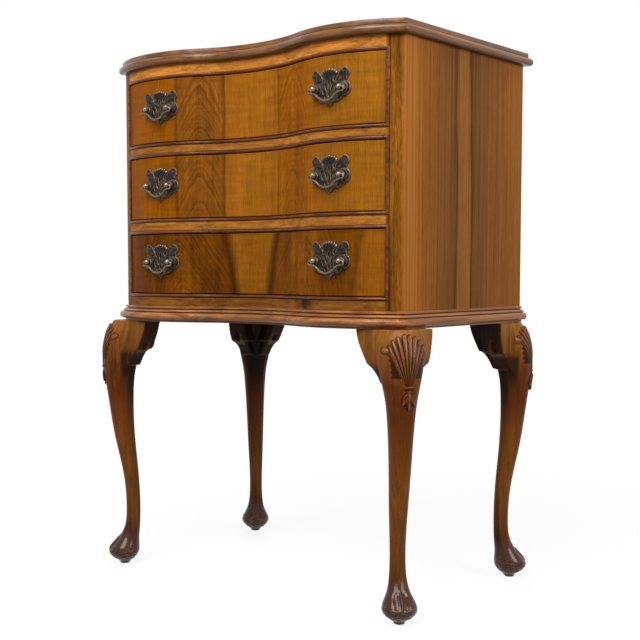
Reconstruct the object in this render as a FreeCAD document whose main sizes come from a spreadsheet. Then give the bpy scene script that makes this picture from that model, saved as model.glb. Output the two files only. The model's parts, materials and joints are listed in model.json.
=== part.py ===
import FreeCAD, Part

import math
import os

import Sketcher

# A chest of three drawers with a serpentine front, on four cabriole legs.
# Millimetres. +Z is up, the front faces -Y, and the origin is on the floor, at the middle of the
# object's box in plan.

SIZES = {
    # Case
    "case_width": 493,
    "case_depth": 295,
    "case_shift": 10,
    "side_thickness": 16,
    "back_thickness": 6,
    "floor_thickness": 6,
    "stile_width": 20.5,
    "stile_depth": 24,
    "rail_depth": 48,
    # Serpentine front: two bows with a hollow between them, measured from the front corners
    "bow_inset": 89.5,
    "bow_rise": 26,
    "hollow_depth": 34,
    # Heights from the base up
    "leg_height": 366,
    "base_height": 22,
    "bottom_rail_height": 17.5,
    "bottom_opening": 85,
    "lower_rail_height": 20.5,
    "middle_opening": 88,
    "upper_rail_height": 18.5,
    "top_opening": 89,
    "top_rail_height": 18.5,
    # Top board
    "top_nose_height": 11,
    "top_nose_radius": 4.8,
    "top_step_height": 7,
    "top_step_inset": 5,
    "top_step_radius": 1.5,
    "top_overhang": 8.5,
    "top_back_overhang": 14,
    # Base moulding
    "base_fillet_out": 2,
    "base_fillet_height": 3,
    "base_cove_radius": 6,
    "base_nose_out": 3,
    "base_lip_height": 1,
    "base_board_width": 56,
    # Beads round the drawer openings
    "bead_width": 4,
    "bead_out": 1.9,
    # Drawers
    "front_setback": 1,
    "front_thickness": 19,
    "front_gap": 1,
    "drawer_side_thickness": 10,
    "drawer_side_gap": 1.5,
    "drawer_headroom": 7,
    "drawer_slide_gap": 0.3,
    "drawer_back_gap": 14,
    "drawer_back_drop": 5,
    "panel_thickness": 4,
    "panel_height": 8,
    "groove_depth": 4,
    "groove_gap": 0.2,
    # Runners, guides, kickers and stops
    "runner_thickness": 11,
    "runner_width": 18,
    "guide_height": 16,
    "stop_length": 26,
    "stop_width": 12,
    "stop_height": 5,
    "stop_inset": 122,
    "stop_gap": 0.3,
    # Handles
    "handle_inset": 96.3,
    "handle_lift": 2.5,
    "post_spacing": 41,
    "pivot_reach": 8.4,
    "post_head_radius": 3.8,
    "post_neck_radius": 3,
    "post_collar_radius": 4.7,
    "post_collar_height": 1.8,
    "shank_radius": 2.5,
    "shank_gap": 0.1,
    "plate_thickness": 1.6,
    "plate_seat_gap": 0.1,
    "nut_radius": 5.5,
    "nut_height": 4,
    "bail_radius": 1.7,
    "bail_pin_radius": 1.4,
    "bail_pin_gap": 0.06,
    "bail_pin_length": 7.4,
    "bail_side_gap": 0.4,
    "bail_curl_radius": 2.6,
    "bail_bow_radius": 18,
    # Legs, brackets and screws
    "front_foot_out": 2.2,
    "front_foot_forward": 9.6,
    "rear_foot_in": 4.5,
    "rear_foot_forward": 12.5,
    "bracket_root": 12,
    "bracket_reach": 57,
    "side_bracket_reach": 51,
    "bracket_height": 43,
    "bracket_cusp_reach": 43,
    "bracket_swell": 2,
    "bracket_face": 12,
    "bracket_thickness": 32,
    "screw_reach": 43,
    "screw_grip": 22,
    "screw_radius": 2,
    "screw_gap": 0.1,
    "screw_head_radius": 4,
    "screw_head_height": 3,
    "screw_bite": 14,
}

# Sections of a leg from the floor up, along its diagonal: height, reach outwards and inwards from the
# middle of the foot, half width, and the radius of each of the four arcs as a share of its chord.
# The heights of the upper ones are counted down from the top of the leg, so a longer leg has a longer shank.
LEG_FIELDS = ("height", "out", "back", "half", "round")
LOWER_STATIONS = {
    "tread": (0, 6.8, 6.8, 6.8, 0.708),
    "sole": (7, 13, 13, 13, 0.708),
    "pad": (20, 23, 21.5, 22, 0.708),
    "instep": (35, 12.5, 21.8, 16.5, 0.71),
    "hock": (51, 1.5, 22.8, 11.9, 0.708),
    "ankle": (80, -3.2, 24, 10, 0.708),
    "shin": (134, 0.5, 22, 11.7, 0.708),
}
UPPER_STATIONS = {
    "calf": (172, 13, 17, 14, 0.715),
    "hollow": (114, 22, 15.7, 17, 0.74),
    "throat": (84, 26.5, 17.5, 20.5, 0.78),
    "knee": (56, 29, 24, 26.5, 0.85),
    "crown": (21, 24, 38, 31, 1.1),
    "collar": (0, 12, 42, 31, 1.3),
}

# Backplate outline, right half, from the bottom tip up: across, up, then bend radius to the next point.
# A positive radius swells outwards, a negative one is hollow and 0 is straight.
PLATE_HALF = (
    (0, -23.5, 0),
    (4.5, -18.5, -6),
    (11, -16, 8),
    (19, -11, -9),
    (24, -9.5, 8.6),
    (32, -1, 8.2),
    (27.5, 7, -6),
    (30.4, 15.5, 8),
    (28, 22.4, 5.2),
    (19.4, 22.2, -2.4),
    (18.4, 18.2, 0),
    (10.4, 9.6, -2.4),
    (6.6, 11.8, 0),
    (12.6, 18.2, 2.6),
    (10.2, 21.4, 2.6),
    (6, 22.6, 2.4),
    (2, 23.6, 2.2),
    (0, 24.4, 0),
)
# Pierced slots of the backplate: middle across and up, half length, half width, turn in degrees.
PLATE_SLOTS = (
    (0, 8.4, 4.4, 1.9, 90),
    (4.6, 0.6, 5.4, 1.2, 68),
    (-4.6, 0.6, 5.4, 1.2, 112),
    (10, -2.4, 5.4, 1.2, 76),
    (-10, -2.4, 5.4, 1.2, 104),
    (0, -7, 4.6, 1.4, 90),
    (6, -10.5, 2.8, 1, 62),
    (-6, -10.5, 2.8, 1, 118),
)

for stations in (LOWER_STATIONS, UPPER_STATIONS):
    for station, row in stations.items():
        for field, number in zip(LEG_FIELDS, row):
            SIZES[f"{station}_{field}"] = number

doc = FreeCAD.newDocument("chest_of_drawers")
sheet = doc.addObject("Spreadsheet::Sheet", "Sizes")
for row, (name, number) in enumerate(SIZES.items(), start=1):
    sheet.set(f"A{row}", str(number))
    sheet.setAlias(f"A{row}", name)
doc.recompute()


class Size:
    """A length held both as a number and as the sheet expression that gives it."""

    def __init__(self, number, text):
        self.number = number
        self.text = text

    def __add__(self, other):
        other = as_size(other)
        return Size(self.number + other.number, f"({self.text} + {other.text})")

    def __sub__(self, other):
        other = as_size(other)
        return Size(self.number - other.number, f"({self.text} - {other.text})")

    def __mul__(self, other):
        other = as_size(other)
        return Size(self.number * other.number, f"({self.text} * {other.text})")

    def __truediv__(self, other):
        other = as_size(other)
        return Size(self.number / other.number, f"({self.text} / {other.text})")

    def __neg__(self):
        return Size(-self.number, f"(0 - {self.text})")


def as_size(value):
    if isinstance(value, Size):
        return value
    return Size(value, f"({value})")


def sized(name):
    return Size(float(getattr(sheet, name)), f"Sizes.{name}")


def root(value):
    return Size(math.sqrt(value.number), f"sqrt({value.text})")


def least(first, second):
    return Size(min(first.number, second.number), f"min({first.text}; {second.text})")


def sagitta_radius(chord, rise):
    """Radius of the arc that stands the given rise above its chord."""
    return (chord * chord / 4 + rise * rise) / (rise * 2)


# Plan
half_case = sized("case_width") / 2
front_line = sized("case_shift") - sized("case_depth") / 2
back_line = sized("case_shift") + sized("case_depth") / 2
half_opening = half_case - sized("stile_width")
side_inner = half_case - sized("side_thickness")
rail_back = front_line + sized("rail_depth")
panel_front = back_line - sized("back_thickness")

# Heights
leg_top = sized("leg_height")
case_bottom = leg_top + sized("base_height")
case_top = case_bottom
LEVELS = {}
for name, rail in (("bottom", "bottom_rail"), ("middle", "lower_rail"), ("top", "upper_rail")):
    opening_bottom = case_top + sized(f"{rail}_height")
    case_top = opening_bottom + sized(f"{name}_opening")
    LEVELS[name] = (opening_bottom, case_top)
case_top = case_top + sized("top_rail_height")

# Serpentine front line: convex arcs at the bows, one concave arc in the hollow, all tangent.
bow_x = half_case - sized("bow_inset")
bow_radius = sagitta_radius(sized("bow_inset") * 2, sized("bow_rise"))
radius_sum = sagitta_radius(bow_x * 2, sized("hollow_depth"))
hollow_radius = radius_sum - bow_radius
bow_peak = front_line - sized("bow_rise")
bow_centre_y = bow_peak + bow_radius
hollow_middle = bow_peak + sized("hollow_depth")
hollow_centre_y = hollow_middle - hollow_radius
handle_x = half_case - sized("handle_inset")


def front_at(across, proud):
    """Y of the bow's arc at a place across, on the line that stands proud of the case front."""
    radius = bow_radius + proud
    reach = as_size(across) - bow_x
    return bow_centre_y - root(radius * radius - reach * reach)


def turning_point(proud):
    """The point where the hollow turns into the right bow, on the line that stands proud."""
    share = (bow_radius + proud) / radius_sum
    return bow_x - bow_x * share, bow_centre_y + (hollow_centre_y - bow_centre_y) * share


def front_corners(half_width, proud):
    """Corners from left to right along the front line, with the arcs that join them."""
    end_y = front_at(half_width, proud)
    turn_x, turn_y = turning_point(proud)
    bow = (bow_radius + proud, 1)
    hollow = (hollow_radius - proud, -1)
    left = [(-half_width, end_y, bow), (-turn_x, turn_y, hollow)]
    return left + [(turn_x, turn_y, bow), (half_width, end_y, None)]


def back_corners(half_width, proud):
    """The same line walked from right to left, as the inner face of a bent piece."""
    end_y = front_at(half_width, proud)
    turn_x, turn_y = turning_point(proud)
    bow = (bow_radius + proud, -1)
    hollow = (hollow_radius - proud, 1)
    right = [(half_width, end_y, bow), (turn_x, turn_y, hollow)]
    return right + [(-turn_x, turn_y, bow), (-half_width, end_y, None)]


# Drawing and feature helpers

NODES = {}


def new_body(name):
    return doc.addObject("PartDesign::Body", name)


def sketch_on(body, role, lift=None):
    """An empty sketch on one of the body's origin planes, lifted along the plane's normal."""
    sketch = body.newObject("Sketcher::SketchObject", f"{body.Name}_sketch")
    plane = next(feature for feature in body.Origin.OriginFeatures if feature.Role == role)
    sketch.AttachmentSupport = [(plane, "")]
    sketch.MapMode = "FlatFace"
    if lift is not None:
        sketch.setExpression("AttachmentOffset.Base.z", as_size(lift).text)
    return sketch


def bind(sketch, kind, geometry, point, size):
    """Add a driving dimension to the sketch and tie it to the sheet."""
    size = as_size(size)
    if kind == "Radius":
        constraint = Sketcher.Constraint(kind, geometry, size.number)
    else:
        constraint = Sketcher.Constraint(kind, geometry, point, size.number)
    index = sketch.addConstraint(constraint)
    sketch.setExpression(f"Constraints[{index}]", size.text)


def arc_between(start, end, radius, side):
    """The shorter arc between two points; its centre is on the left for side 1, on the right for -1."""
    chord = end - start
    middle = (start + end) / 2
    height = math.sqrt(max(radius * radius - chord.Length * chord.Length / 4, 0))
    left = FreeCAD.Vector(-chord.y, chord.x, 0).normalize()
    centre = middle + left * (height * side)
    first, last = (start, end) if side > 0 else (end, start)
    first_angle = math.atan2(first.y - centre.y, first.x - centre.x)
    last_angle = math.atan2(last.y - centre.y, last.x - centre.x)
    if last_angle < first_angle:
        last_angle += 2 * math.pi
    circle = Part.Circle(centre, FreeCAD.Vector(0, 0, 1), radius)
    return Part.ArcOfCircle(circle, first_angle, last_angle)


def draw(sketch, corners, closed=True):
    """Join corners by lines, or by an arc where a corner holds (radius, side), and bind every size."""
    base = sketch.GeometryCount
    places = [(as_size(x), as_size(y)) for x, y, _ in corners]
    points = [FreeCAD.Vector(x.number, y.number, 0) for x, y in places]
    count = len(corners) if closed else len(corners) - 1
    ends = []
    for index in range(count):
        start = points[index]
        end = points[(index + 1) % len(corners)]
        bend = corners[index][2]
        if bend is None:
            sketch.addGeometry(Part.LineSegment(start, end))
            ends.append((1, 2))
        else:
            radius, side = bend
            sketch.addGeometry(arc_between(start, end, as_size(radius).number, side))
            ends.append((1, 2) if side > 0 else (2, 1))
    for index in range(count if closed else count - 1):
        after = (index + 1) % count
        link = Sketcher.Constraint("Coincident", base + index, ends[index][1], base + after, ends[after][0])
        sketch.addConstraint(link)
    for index, (x, y) in enumerate(places):
        edge = min(index, count - 1)
        point = ends[edge][0] if index < count else ends[edge][1]
        bind(sketch, "DistanceX", base + edge, point, x)
        bind(sketch, "DistanceY", base + edge, point, y)
    for index in range(count):
        if corners[index][2] is not None:
            bind(sketch, "Radius", base + index, None, corners[index][2][0])
    return sketch


def draw_circle(sketch, x, y, radius):
    x, y, radius = as_size(x), as_size(y), as_size(radius)
    centre = FreeCAD.Vector(x.number, y.number, 0)
    index = sketch.addGeometry(Part.Circle(centre, FreeCAD.Vector(0, 0, 1), radius.number))
    bind(sketch, "DistanceX", index, 3, x)
    bind(sketch, "DistanceY", index, 3, y)
    bind(sketch, "Radius", index, None, radius)
    return sketch


def rectangle(low_x, low_y, high_x, high_y):
    return [(low_x, low_y, None), (high_x, low_y, None), (high_x, high_y, None), (low_x, high_y, None)]


def pad(body, sketch, length):
    feature = body.newObject("PartDesign::Pad", f"{body.Name}_pad")
    feature.Profile = sketch
    feature.setExpression("Length", as_size(length).text)
    return feature


def cut_through(body, sketch, both_ways=False):
    """Cut the sketch through the body, against the sketch's normal or both ways."""
    feature = body.newObject("PartDesign::Pocket", f"{body.Name}_pocket")
    feature.Profile = sketch
    feature.Type = "ThroughAll"
    feature.Midplane = both_ways
    return feature


def pipe(body, profile, spine):
    feature = body.newObject("PartDesign::AdditivePipe", f"{body.Name}_pipe")
    feature.Profile = profile
    feature.Spine = (spine, [f"Edge{index + 1}" for index in range(spine.GeometryCount)])
    return feature


def mirror_across(body, features):
    """Repeat features on the other side of the body's own YZ plane."""
    feature = body.newObject("PartDesign::Mirrored", f"{body.Name}_mirror")
    plane = next(item for item in body.Origin.OriginFeatures if item.Role == "YZ_Plane")
    feature.Originals = features
    feature.MirrorPlane = (plane, [""])
    body.Tip = feature
    return feature


def edges_where(feature, test):
    """Names of the feature's edges whose middle point passes the test."""
    names = []
    for index, edge in enumerate(feature.Shape.Edges, start=1):
        middle = edge.valueAt((edge.FirstParameter + edge.LastParameter) / 2)
        if test(middle):
            names.append(f"Edge{index}")
    return names


def board(name, low, high):
    """A plain sawn board between two corners."""
    box = doc.addObject("Part::Box", name)
    for side, axis, start, end in zip(("Length", "Width", "Height"), "xyz", low, high):
        box.setExpression(side, (as_size(end) - start).text)
        box.setExpression(f"Placement.Base.{axis}", as_size(start).text)
    return box


def mirrored(name, source):
    """A left-hand copy of a right-hand piece."""
    copy = doc.addObject("Part::Mirroring", name)
    copy.Source = source
    copy.Normal = FreeCAD.Vector(1, 0, 0)
    return copy


def pair(name, source):
    return [source, mirrored(f"{name}_left", source)]


def group(name, pieces):
    compound = doc.addObject("Part::Compound", name)
    compound.Links = pieces
    return compound


def cut(name, base, tool):
    result = doc.addObject("Part::Cut", name)
    result.Base = base
    result.Tool = tool
    return result


def place(piece, x, y, z, turn=0):
    """Put a piece at a bound place, turned about the vertical."""
    piece.Placement = FreeCAD.Placement(FreeCAD.Vector(), FreeCAD.Rotation(FreeCAD.Vector(0, 0, 1), turn))
    for axis, value in zip("xyz", (x, y, z)):
        piece.setExpression(f"Placement.Base.{axis}", as_size(value).text)
    return piece


def keep(name, piece):
    """Take a finished piece into the assembly under its node name."""
    piece.Label = name
    NODES[name] = piece
    return piece


# Top


def make_top_board():
    """The top: a rounded nose round the front and ends, with a thinner step above it."""
    body = new_body("top_board_body")
    back = back_line + sized("top_back_overhang")
    half_top = half_case + sized("top_overhang")
    corners = front_corners(half_top, sized("top_overhang"))
    corners += [(half_top, back, None), (-half_top, back, None)]
    nose = pad(body, draw(sketch_on(body, "XY_Plane", case_top), corners), sized("top_nose_height"))
    doc.recompute()
    low = case_top.number
    high = low + sized("top_nose_height").number
    rounded = body.newObject("PartDesign::Fillet", "top_nose_round")
    # The front and end edges are rounded above and below; the back edge and the corners stay square.
    moulded = edges_where(
        nose, lambda at: at.y < back.number - 1 and (abs(at.z - low) < 0.1 or abs(at.z - high) < 0.1)
    )
    rounded.Base = (nose, moulded)
    rounded.setExpression("Radius", sized("top_nose_radius").text)
    inset = sized("top_overhang") - sized("top_step_inset")
    half_step = half_case + inset
    corners = front_corners(half_step, inset)
    corners += [(half_step, back, None), (-half_step, back, None)]
    step_bottom = case_top + sized("top_nose_height")
    step = pad(body, draw(sketch_on(body, "XY_Plane", step_bottom), corners), sized("top_step_height"))
    doc.recompute()
    surface = step_bottom.number + sized("top_step_height").number
    eased = body.newObject("PartDesign::Fillet", "top_step_round")
    eased.Base = (step, edges_where(step, lambda at: at.y < back.number - 1 and abs(at.z - surface) < 0.1))
    eased.setExpression("Radius", sized("top_step_radius").text)
    return keep("top_board", body)


# Case


def make_side_panels():
    """Side panels behind the front stiles, rebated at the back for the back panel."""
    body = new_body("side_panel_body")
    rebate = side_inner + sized("side_thickness") / 2
    corners = [
        (side_inner, front_line + sized("stile_depth"), None),
        (half_case, front_line + sized("stile_depth"), None),
        (half_case, back_line, None),
        (rebate, back_line, None),
        (rebate, panel_front, None),
        (side_inner, panel_front, None),
    ]
    pad(body, draw(sketch_on(body, "XY_Plane", case_bottom), corners), case_top - case_bottom)
    keep("side_panel_right", body)
    keep("side_panel_left", mirrored("side_panel_left", body))


def make_front_stiles():
    """Upright corner posts whose front faces follow the bow."""
    body = new_body("front_stile_body")
    corners = [
        (half_opening, front_at(half_opening, 0), (bow_radius, 1)),
        (half_case, front_at(half_case, 0), None),
        (half_case, front_line + sized("stile_depth"), None),
        (half_opening, front_line + sized("stile_depth"), None),
    ]
    pad(body, draw(sketch_on(body, "XY_Plane", case_bottom), corners), case_top - case_bottom)
    keep("front_stile_right", body)
    keep("front_stile_left", mirrored("front_stile_left", body))


def make_rail(name, low, height):
    """A rail across the front, between the stiles, with a serpentine front edge."""
    body = new_body(f"{name}_body")
    corners = front_corners(half_opening, as_size(0))
    corners += [(half_opening, rail_back, None), (-half_opening, rail_back, None)]
    pad(body, draw(sketch_on(body, "XY_Plane", low), corners), height)
    keep(name, body)


def make_case_boards():
    rebate = side_inner + sized("side_thickness") / 2
    back = board("back_board", (-rebate, panel_front, case_bottom), (rebate, back_line, case_top))
    keep("back_panel", back)
    low = (-side_inner, rail_back, case_bottom)
    high = (side_inner, panel_front, case_bottom + sized("floor_thickness"))
    keep("case_floor", board("floor_board", low, high))
    low = (-side_inner, panel_front - sized("runner_width"), case_top - sized("top_rail_height"))
    high = (side_inner, panel_front, case_top)
    keep("back_rail", board("back_rail_board", low, high))


def make_bead_frame(name, low, high):
    """Four half-round strips round a drawer opening, seated on the rails and stiles."""
    width = sized("bead_width")
    out = sized("bead_out")
    outer = half_opening + width
    pieces = []
    for place_name, bottom in (("below", low - width), ("above", high)):
        body = new_body(f"{name}_{place_name}")
        profile = [
            (hollow_middle, bottom + width, (sagitta_radius(width, out), 1)),
            (hollow_middle, bottom, None),
        ]
        section = draw(sketch_on(body, "YZ_Plane"), profile)
        half = pipe(body, section, half_front_spine(body, outer + width, bottom))
        trim = sketch_on(body, "XY_Plane", bottom + width)
        end = cut_through(body, draw(trim, rectangle(outer, bow_peak - width, half_case, back_line)))
        mirror_across(body, [half, end])
        pieces.append(body)
    body = new_body(f"{name}_upright")
    rise = front_at(outer, 0) - front_at(half_opening, 0)
    chord = root(width * width + rise * rise)
    profile = [
        (half_opening, front_at(half_opening, 0), (sagitta_radius(chord, out), 1)),
        (outer, front_at(outer, 0), (bow_radius, -1)),
    ]
    pad(body, draw(sketch_on(body, "XY_Plane", low), profile), high - low)
    pieces += pair(f"{name}_upright", body)
    keep(name, group(f"{name}_strips", pieces))


def half_front_spine(body, end_x, level):
    """The right half of the case's front line, from the middle of the hollow to a place across."""
    turn_x, turn_y = turning_point(as_size(0))
    path = [
        (as_size(0), hollow_middle, (hollow_radius, -1)),
        (turn_x, turn_y, (bow_radius, 1)),
        (end_x, front_at(end_x, 0), None),
    ]
    return draw(sketch_on(body, "XY_Plane", level), path, closed=False)


# Base


def base_profile(face, outwards):
    """Section of the base moulding: a fillet, a cove and a swelling nose, in front of a flat board."""

    def at(proud, height, bend=None):
        if bend is not None:
            bend = (bend[0], bend[1] * outwards)
        return face + as_size(proud) * outwards, height, bend

    fillet = sized("base_fillet_out")
    cove = sized("base_cove_radius")
    cove_top = case_bottom - sized("base_fillet_height")
    nose_top = cove_top - cove
    nose_bottom = leg_top + sized("base_lip_height")
    nose = sagitta_radius(nose_top - nose_bottom, sized("base_nose_out"))
    return [
        at(-sized("base_board_width"), leg_top),
        at(-sized("base_board_width"), case_bottom),
        at(fillet, case_bottom),
        at(fillet, cove_top, (cove, 1)),
        at(fillet + cove, nose_top, (nose, -1)),
        at(fillet + cove, nose_bottom),
        at(fillet + cove, leg_top),
    ]


base_out = sized("base_fillet_out") + sized("base_cove_radius") + sized("base_nose_out")


def mitre_line():
    """The two ends of the right front mitre, a little past the inner and outer corners."""
    inside = -sized("base_board_width")
    inner = (half_case + inside, front_at(half_case + inside, inside))
    outer = (half_case + base_out, front_at(half_case + base_out, base_out))
    step = (outer[0] - inner[0], outer[1] - inner[1])
    return (inner[0] - step[0], inner[1] - step[1]), (outer[0] + step[0], outer[1] + step[1])


def make_base(pilots):
    """Base boards with a moulded edge on three sides, mitred in front, drilled for the bracket screws."""
    inner, outer = mitre_line()
    far = half_case * 2
    front = new_body("base_front_body")
    section = draw(sketch_on(front, "YZ_Plane"), base_profile(hollow_middle, -1))
    run = pipe(front, section, half_front_spine(front, half_case + base_out, leg_top))
    wedge = [(*inner, None), (*outer, None), (far, outer[1], None), (far, inner[1], None)]
    mitre = cut_through(front, draw(sketch_on(front, "XY_Plane", case_bottom), wedge))
    mirror_across(front, [run, mitre])
    side = new_body("base_side_body")
    section = draw(sketch_on(side, "XZ_Plane", -back_line), base_profile(half_case, 1))
    pad(side, section, back_line - outer[1])
    wedge = [(*outer, None), (*inner, None), (inner[0], outer[1], None)]
    cut_through(side, draw(sketch_on(side, "XY_Plane", case_bottom), wedge))
    end = half_case - sized("base_board_width")
    low = (-end, back_line - sized("base_board_width"), leg_top)
    rear = board("base_back_board", low, (end, back_line, case_bottom))
    keep("base_moulding_front", cut("base_front_drilled", front, pilots))
    keep("base_moulding_right", cut("base_right_drilled", side, pilots))
    left = mirrored("base_left_board", side)
    keep("base_moulding_left", cut("base_left_drilled", left, pilots))
    keep("base_back_rail", cut("base_back_drilled", rear, pilots))


# Drawer guides


def make_guides():
    """Runners with a guide lip, kickers above the top drawer, and stops on the rails."""
    runners = []
    stops = []
    inner = side_inner - sized("runner_width")
    fence = half_opening
    stop_in = half_case - sized("stop_inset") - sized("stop_length") / 2
    front_inner = -sized("front_setback") - sized("front_thickness")
    stop_y = front_at(stop_in, front_inner) + sized("stop_gap")
    for name, (bottom, _) in LEVELS.items():
        body = new_body(f"{name}_runner")
        corners = [
            (inner, bottom - sized("runner_thickness"), None),
            (side_inner, bottom - sized("runner_thickness"), None),
            (side_inner, bottom + sized("guide_height"), None),
            (fence, bottom + sized("guide_height"), None),
            (fence, bottom, None),
            (inner, bottom, None),
        ]
        pad(body, draw(sketch_on(body, "XZ_Plane", -panel_front), corners), panel_front - rail_back)
        runners += pair(f"{name}_runner", body)
        low = (stop_in, stop_y, bottom)
        high = (stop_in + sized("stop_length"), stop_y + sized("stop_width"), bottom + sized("stop_height"))
        stops += pair(f"{name}_stop", board(f"{name}_stop", low, high))
    keep("drawer_runners", group("runner_set", runners))
    keep("drawer_stops", group("stop_set", stops))
    low = (inner, rail_back, LEVELS["top"][1])
    high = (side_inner, panel_front - sized("runner_width"), case_top)
    keep("drawer_kickers", group("kicker_set", pair("kicker", board("kicker", low, high))))


# Drawers


def post_places():
    """Distances across of the four posts of a drawer front."""
    reach = sized("post_spacing") / 2
    return [-handle_x - reach, -handle_x + reach, handle_x - reach, handle_x + reach]


def make_drawer(name, bottom, top):
    """One drawer: a bent front bored for the handle bolts, grooved sides, a back and a bottom panel."""
    front_half = half_opening - sized("front_gap")
    face = -sized("front_setback")
    inner = face - sized("front_thickness")
    handle_z = (bottom + top) / 2 + sized("handle_lift")
    front = new_body(f"{name}_front_body")
    corners = front_corners(front_half, face) + back_corners(front_half, inner)
    outline = draw(sketch_on(front, "XY_Plane", bottom + sized("front_gap")), corners)
    pad(front, outline, top - bottom - sized("front_gap") * 2)
    bores = sketch_on(front, "XZ_Plane")
    for across in post_places():
        draw_circle(bores, across, handle_z, sized("shank_radius") + sized("shank_gap"))
    cut_through(front, bores, both_ways=True)
    keep(f"drawer_front_{name}", front)

    side_out = half_opening - sized("drawer_side_gap")
    side_in = side_out - sized("drawer_side_thickness")
    side_low = bottom + sized("drawer_slide_gap")
    side_height = top - bottom - sized("drawer_headroom")
    rear = panel_front - sized("drawer_back_gap")
    side = new_body(f"{name}_side_body")
    corners = [
        (side_in, front_at(side_in, inner), (bow_radius + inner, 1)),
        (side_out, front_at(side_out, inner), None),
        (side_out, rear, None),
        (side_in, rear, None),
    ]
    pad(side, draw(sketch_on(side, "XY_Plane", side_low), corners), side_height)
    groove_low = side_low + sized("panel_height")
    groove_high = groove_low + sized("panel_thickness") + sized("groove_gap")
    groove_floor = side_in + sized("groove_depth")
    groove = draw(sketch_on(side, "XZ_Plane"), rectangle(side_in, groove_low, groove_floor, groove_high))
    cut_through(side, groove, both_ways=True)
    keep(f"drawer_side_right_{name}", side)
    keep(f"drawer_side_left_{name}", mirrored(f"{name}_side_left", side))

    panel = new_body(f"{name}_panel_body")
    panel_half = groove_floor - sized("groove_gap")
    corners = front_corners(panel_half, inner)
    corners += [(panel_half, rear, None), (-panel_half, rear, None)]
    pad(panel, draw(sketch_on(panel, "XY_Plane", groove_low), corners), sized("panel_thickness"))
    keep(f"drawer_bottom_{name}", panel)

    low = (-side_in, rear - sized("drawer_side_thickness"), groove_low + sized("panel_thickness"))
    high = (side_in, rear, side_low + side_height - sized("drawer_back_drop"))
    keep(f"drawer_back_{name}", board(f"{name}_back_board", low, high))
    make_handles(name, handle_z)


# Handles


def pivot_line():
    """Y of the bails' hinge line, in front of the drawer face at the middle of a handle."""
    return front_at(handle_x, -sized("front_setback")) - sized("pivot_reach")


def draw_plate_half(sketch):
    """Right half of the bat-wing outline, drawn about the middle of a handle."""
    corners = []
    for x, z, radius in PLATE_HALF:
        bend = None if radius == 0 else (abs(radius), 1 if radius > 0 else -1)
        corners.append((x, z, bend))
    draw(sketch, corners)


def draw_plate_slots(sketch):
    """The pierced slots, each between two arcs."""
    for x, z, half_length, half_width, turn in PLATE_SLOTS:
        along = FreeCAD.Vector(math.cos(math.radians(turn)), math.sin(math.radians(turn)), 0)
        tips = [FreeCAD.Vector(x, z, 0) + along * (half_length * way) for way in (1, -1)]
        swell = sagitta_radius(as_size(2 * half_length), as_size(half_width))
        draw(sketch, [(tip.x, tip.y, (swell, 1)) for tip in tips])


def make_backplate(name, handle_z):
    """A pierced bat-wing plate, bent to the bow of the drawer front."""
    blank = new_body(f"{name}_plate_blank")
    outline = sketch_on(blank, "XZ_Plane")
    draw_plate_half(outline)
    mirror_across(blank, [pad(blank, outline, -bow_peak + sized("pivot_reach"))])
    slots = sketch_on(blank, "XZ_Plane")
    draw_plate_slots(slots)
    for across in (-sized("post_spacing") / 2, sized("post_spacing") / 2):
        draw_circle(slots, across, 0, sized("shank_radius") + sized("shank_gap"))
    cut_through(blank, slots, both_ways=True)
    place(blank, handle_x, as_size(0), handle_z)
    shell = new_body(f"{name}_plate_shell")
    seat = sized("plate_seat_gap") - sized("front_setback")
    outer = seat + sized("plate_thickness")
    near = handle_x - sized("post_spacing")
    corners = [
        (near, front_at(near, outer), (bow_radius + outer, 1)),
        (half_case, front_at(half_case, outer), None),
        (half_case, front_at(half_case, seat), (bow_radius + seat, -1)),
        (near, front_at(near, seat), None),
    ]
    ring = draw(sketch_on(shell, "XY_Plane", handle_z - sized("post_spacing")), corners)
    pad(shell, ring, sized("post_spacing") * 2)
    plate = doc.addObject("Part::Common", f"{name}_plate")
    plate.Base = blank
    plate.Tool = shell
    return plate


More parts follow.
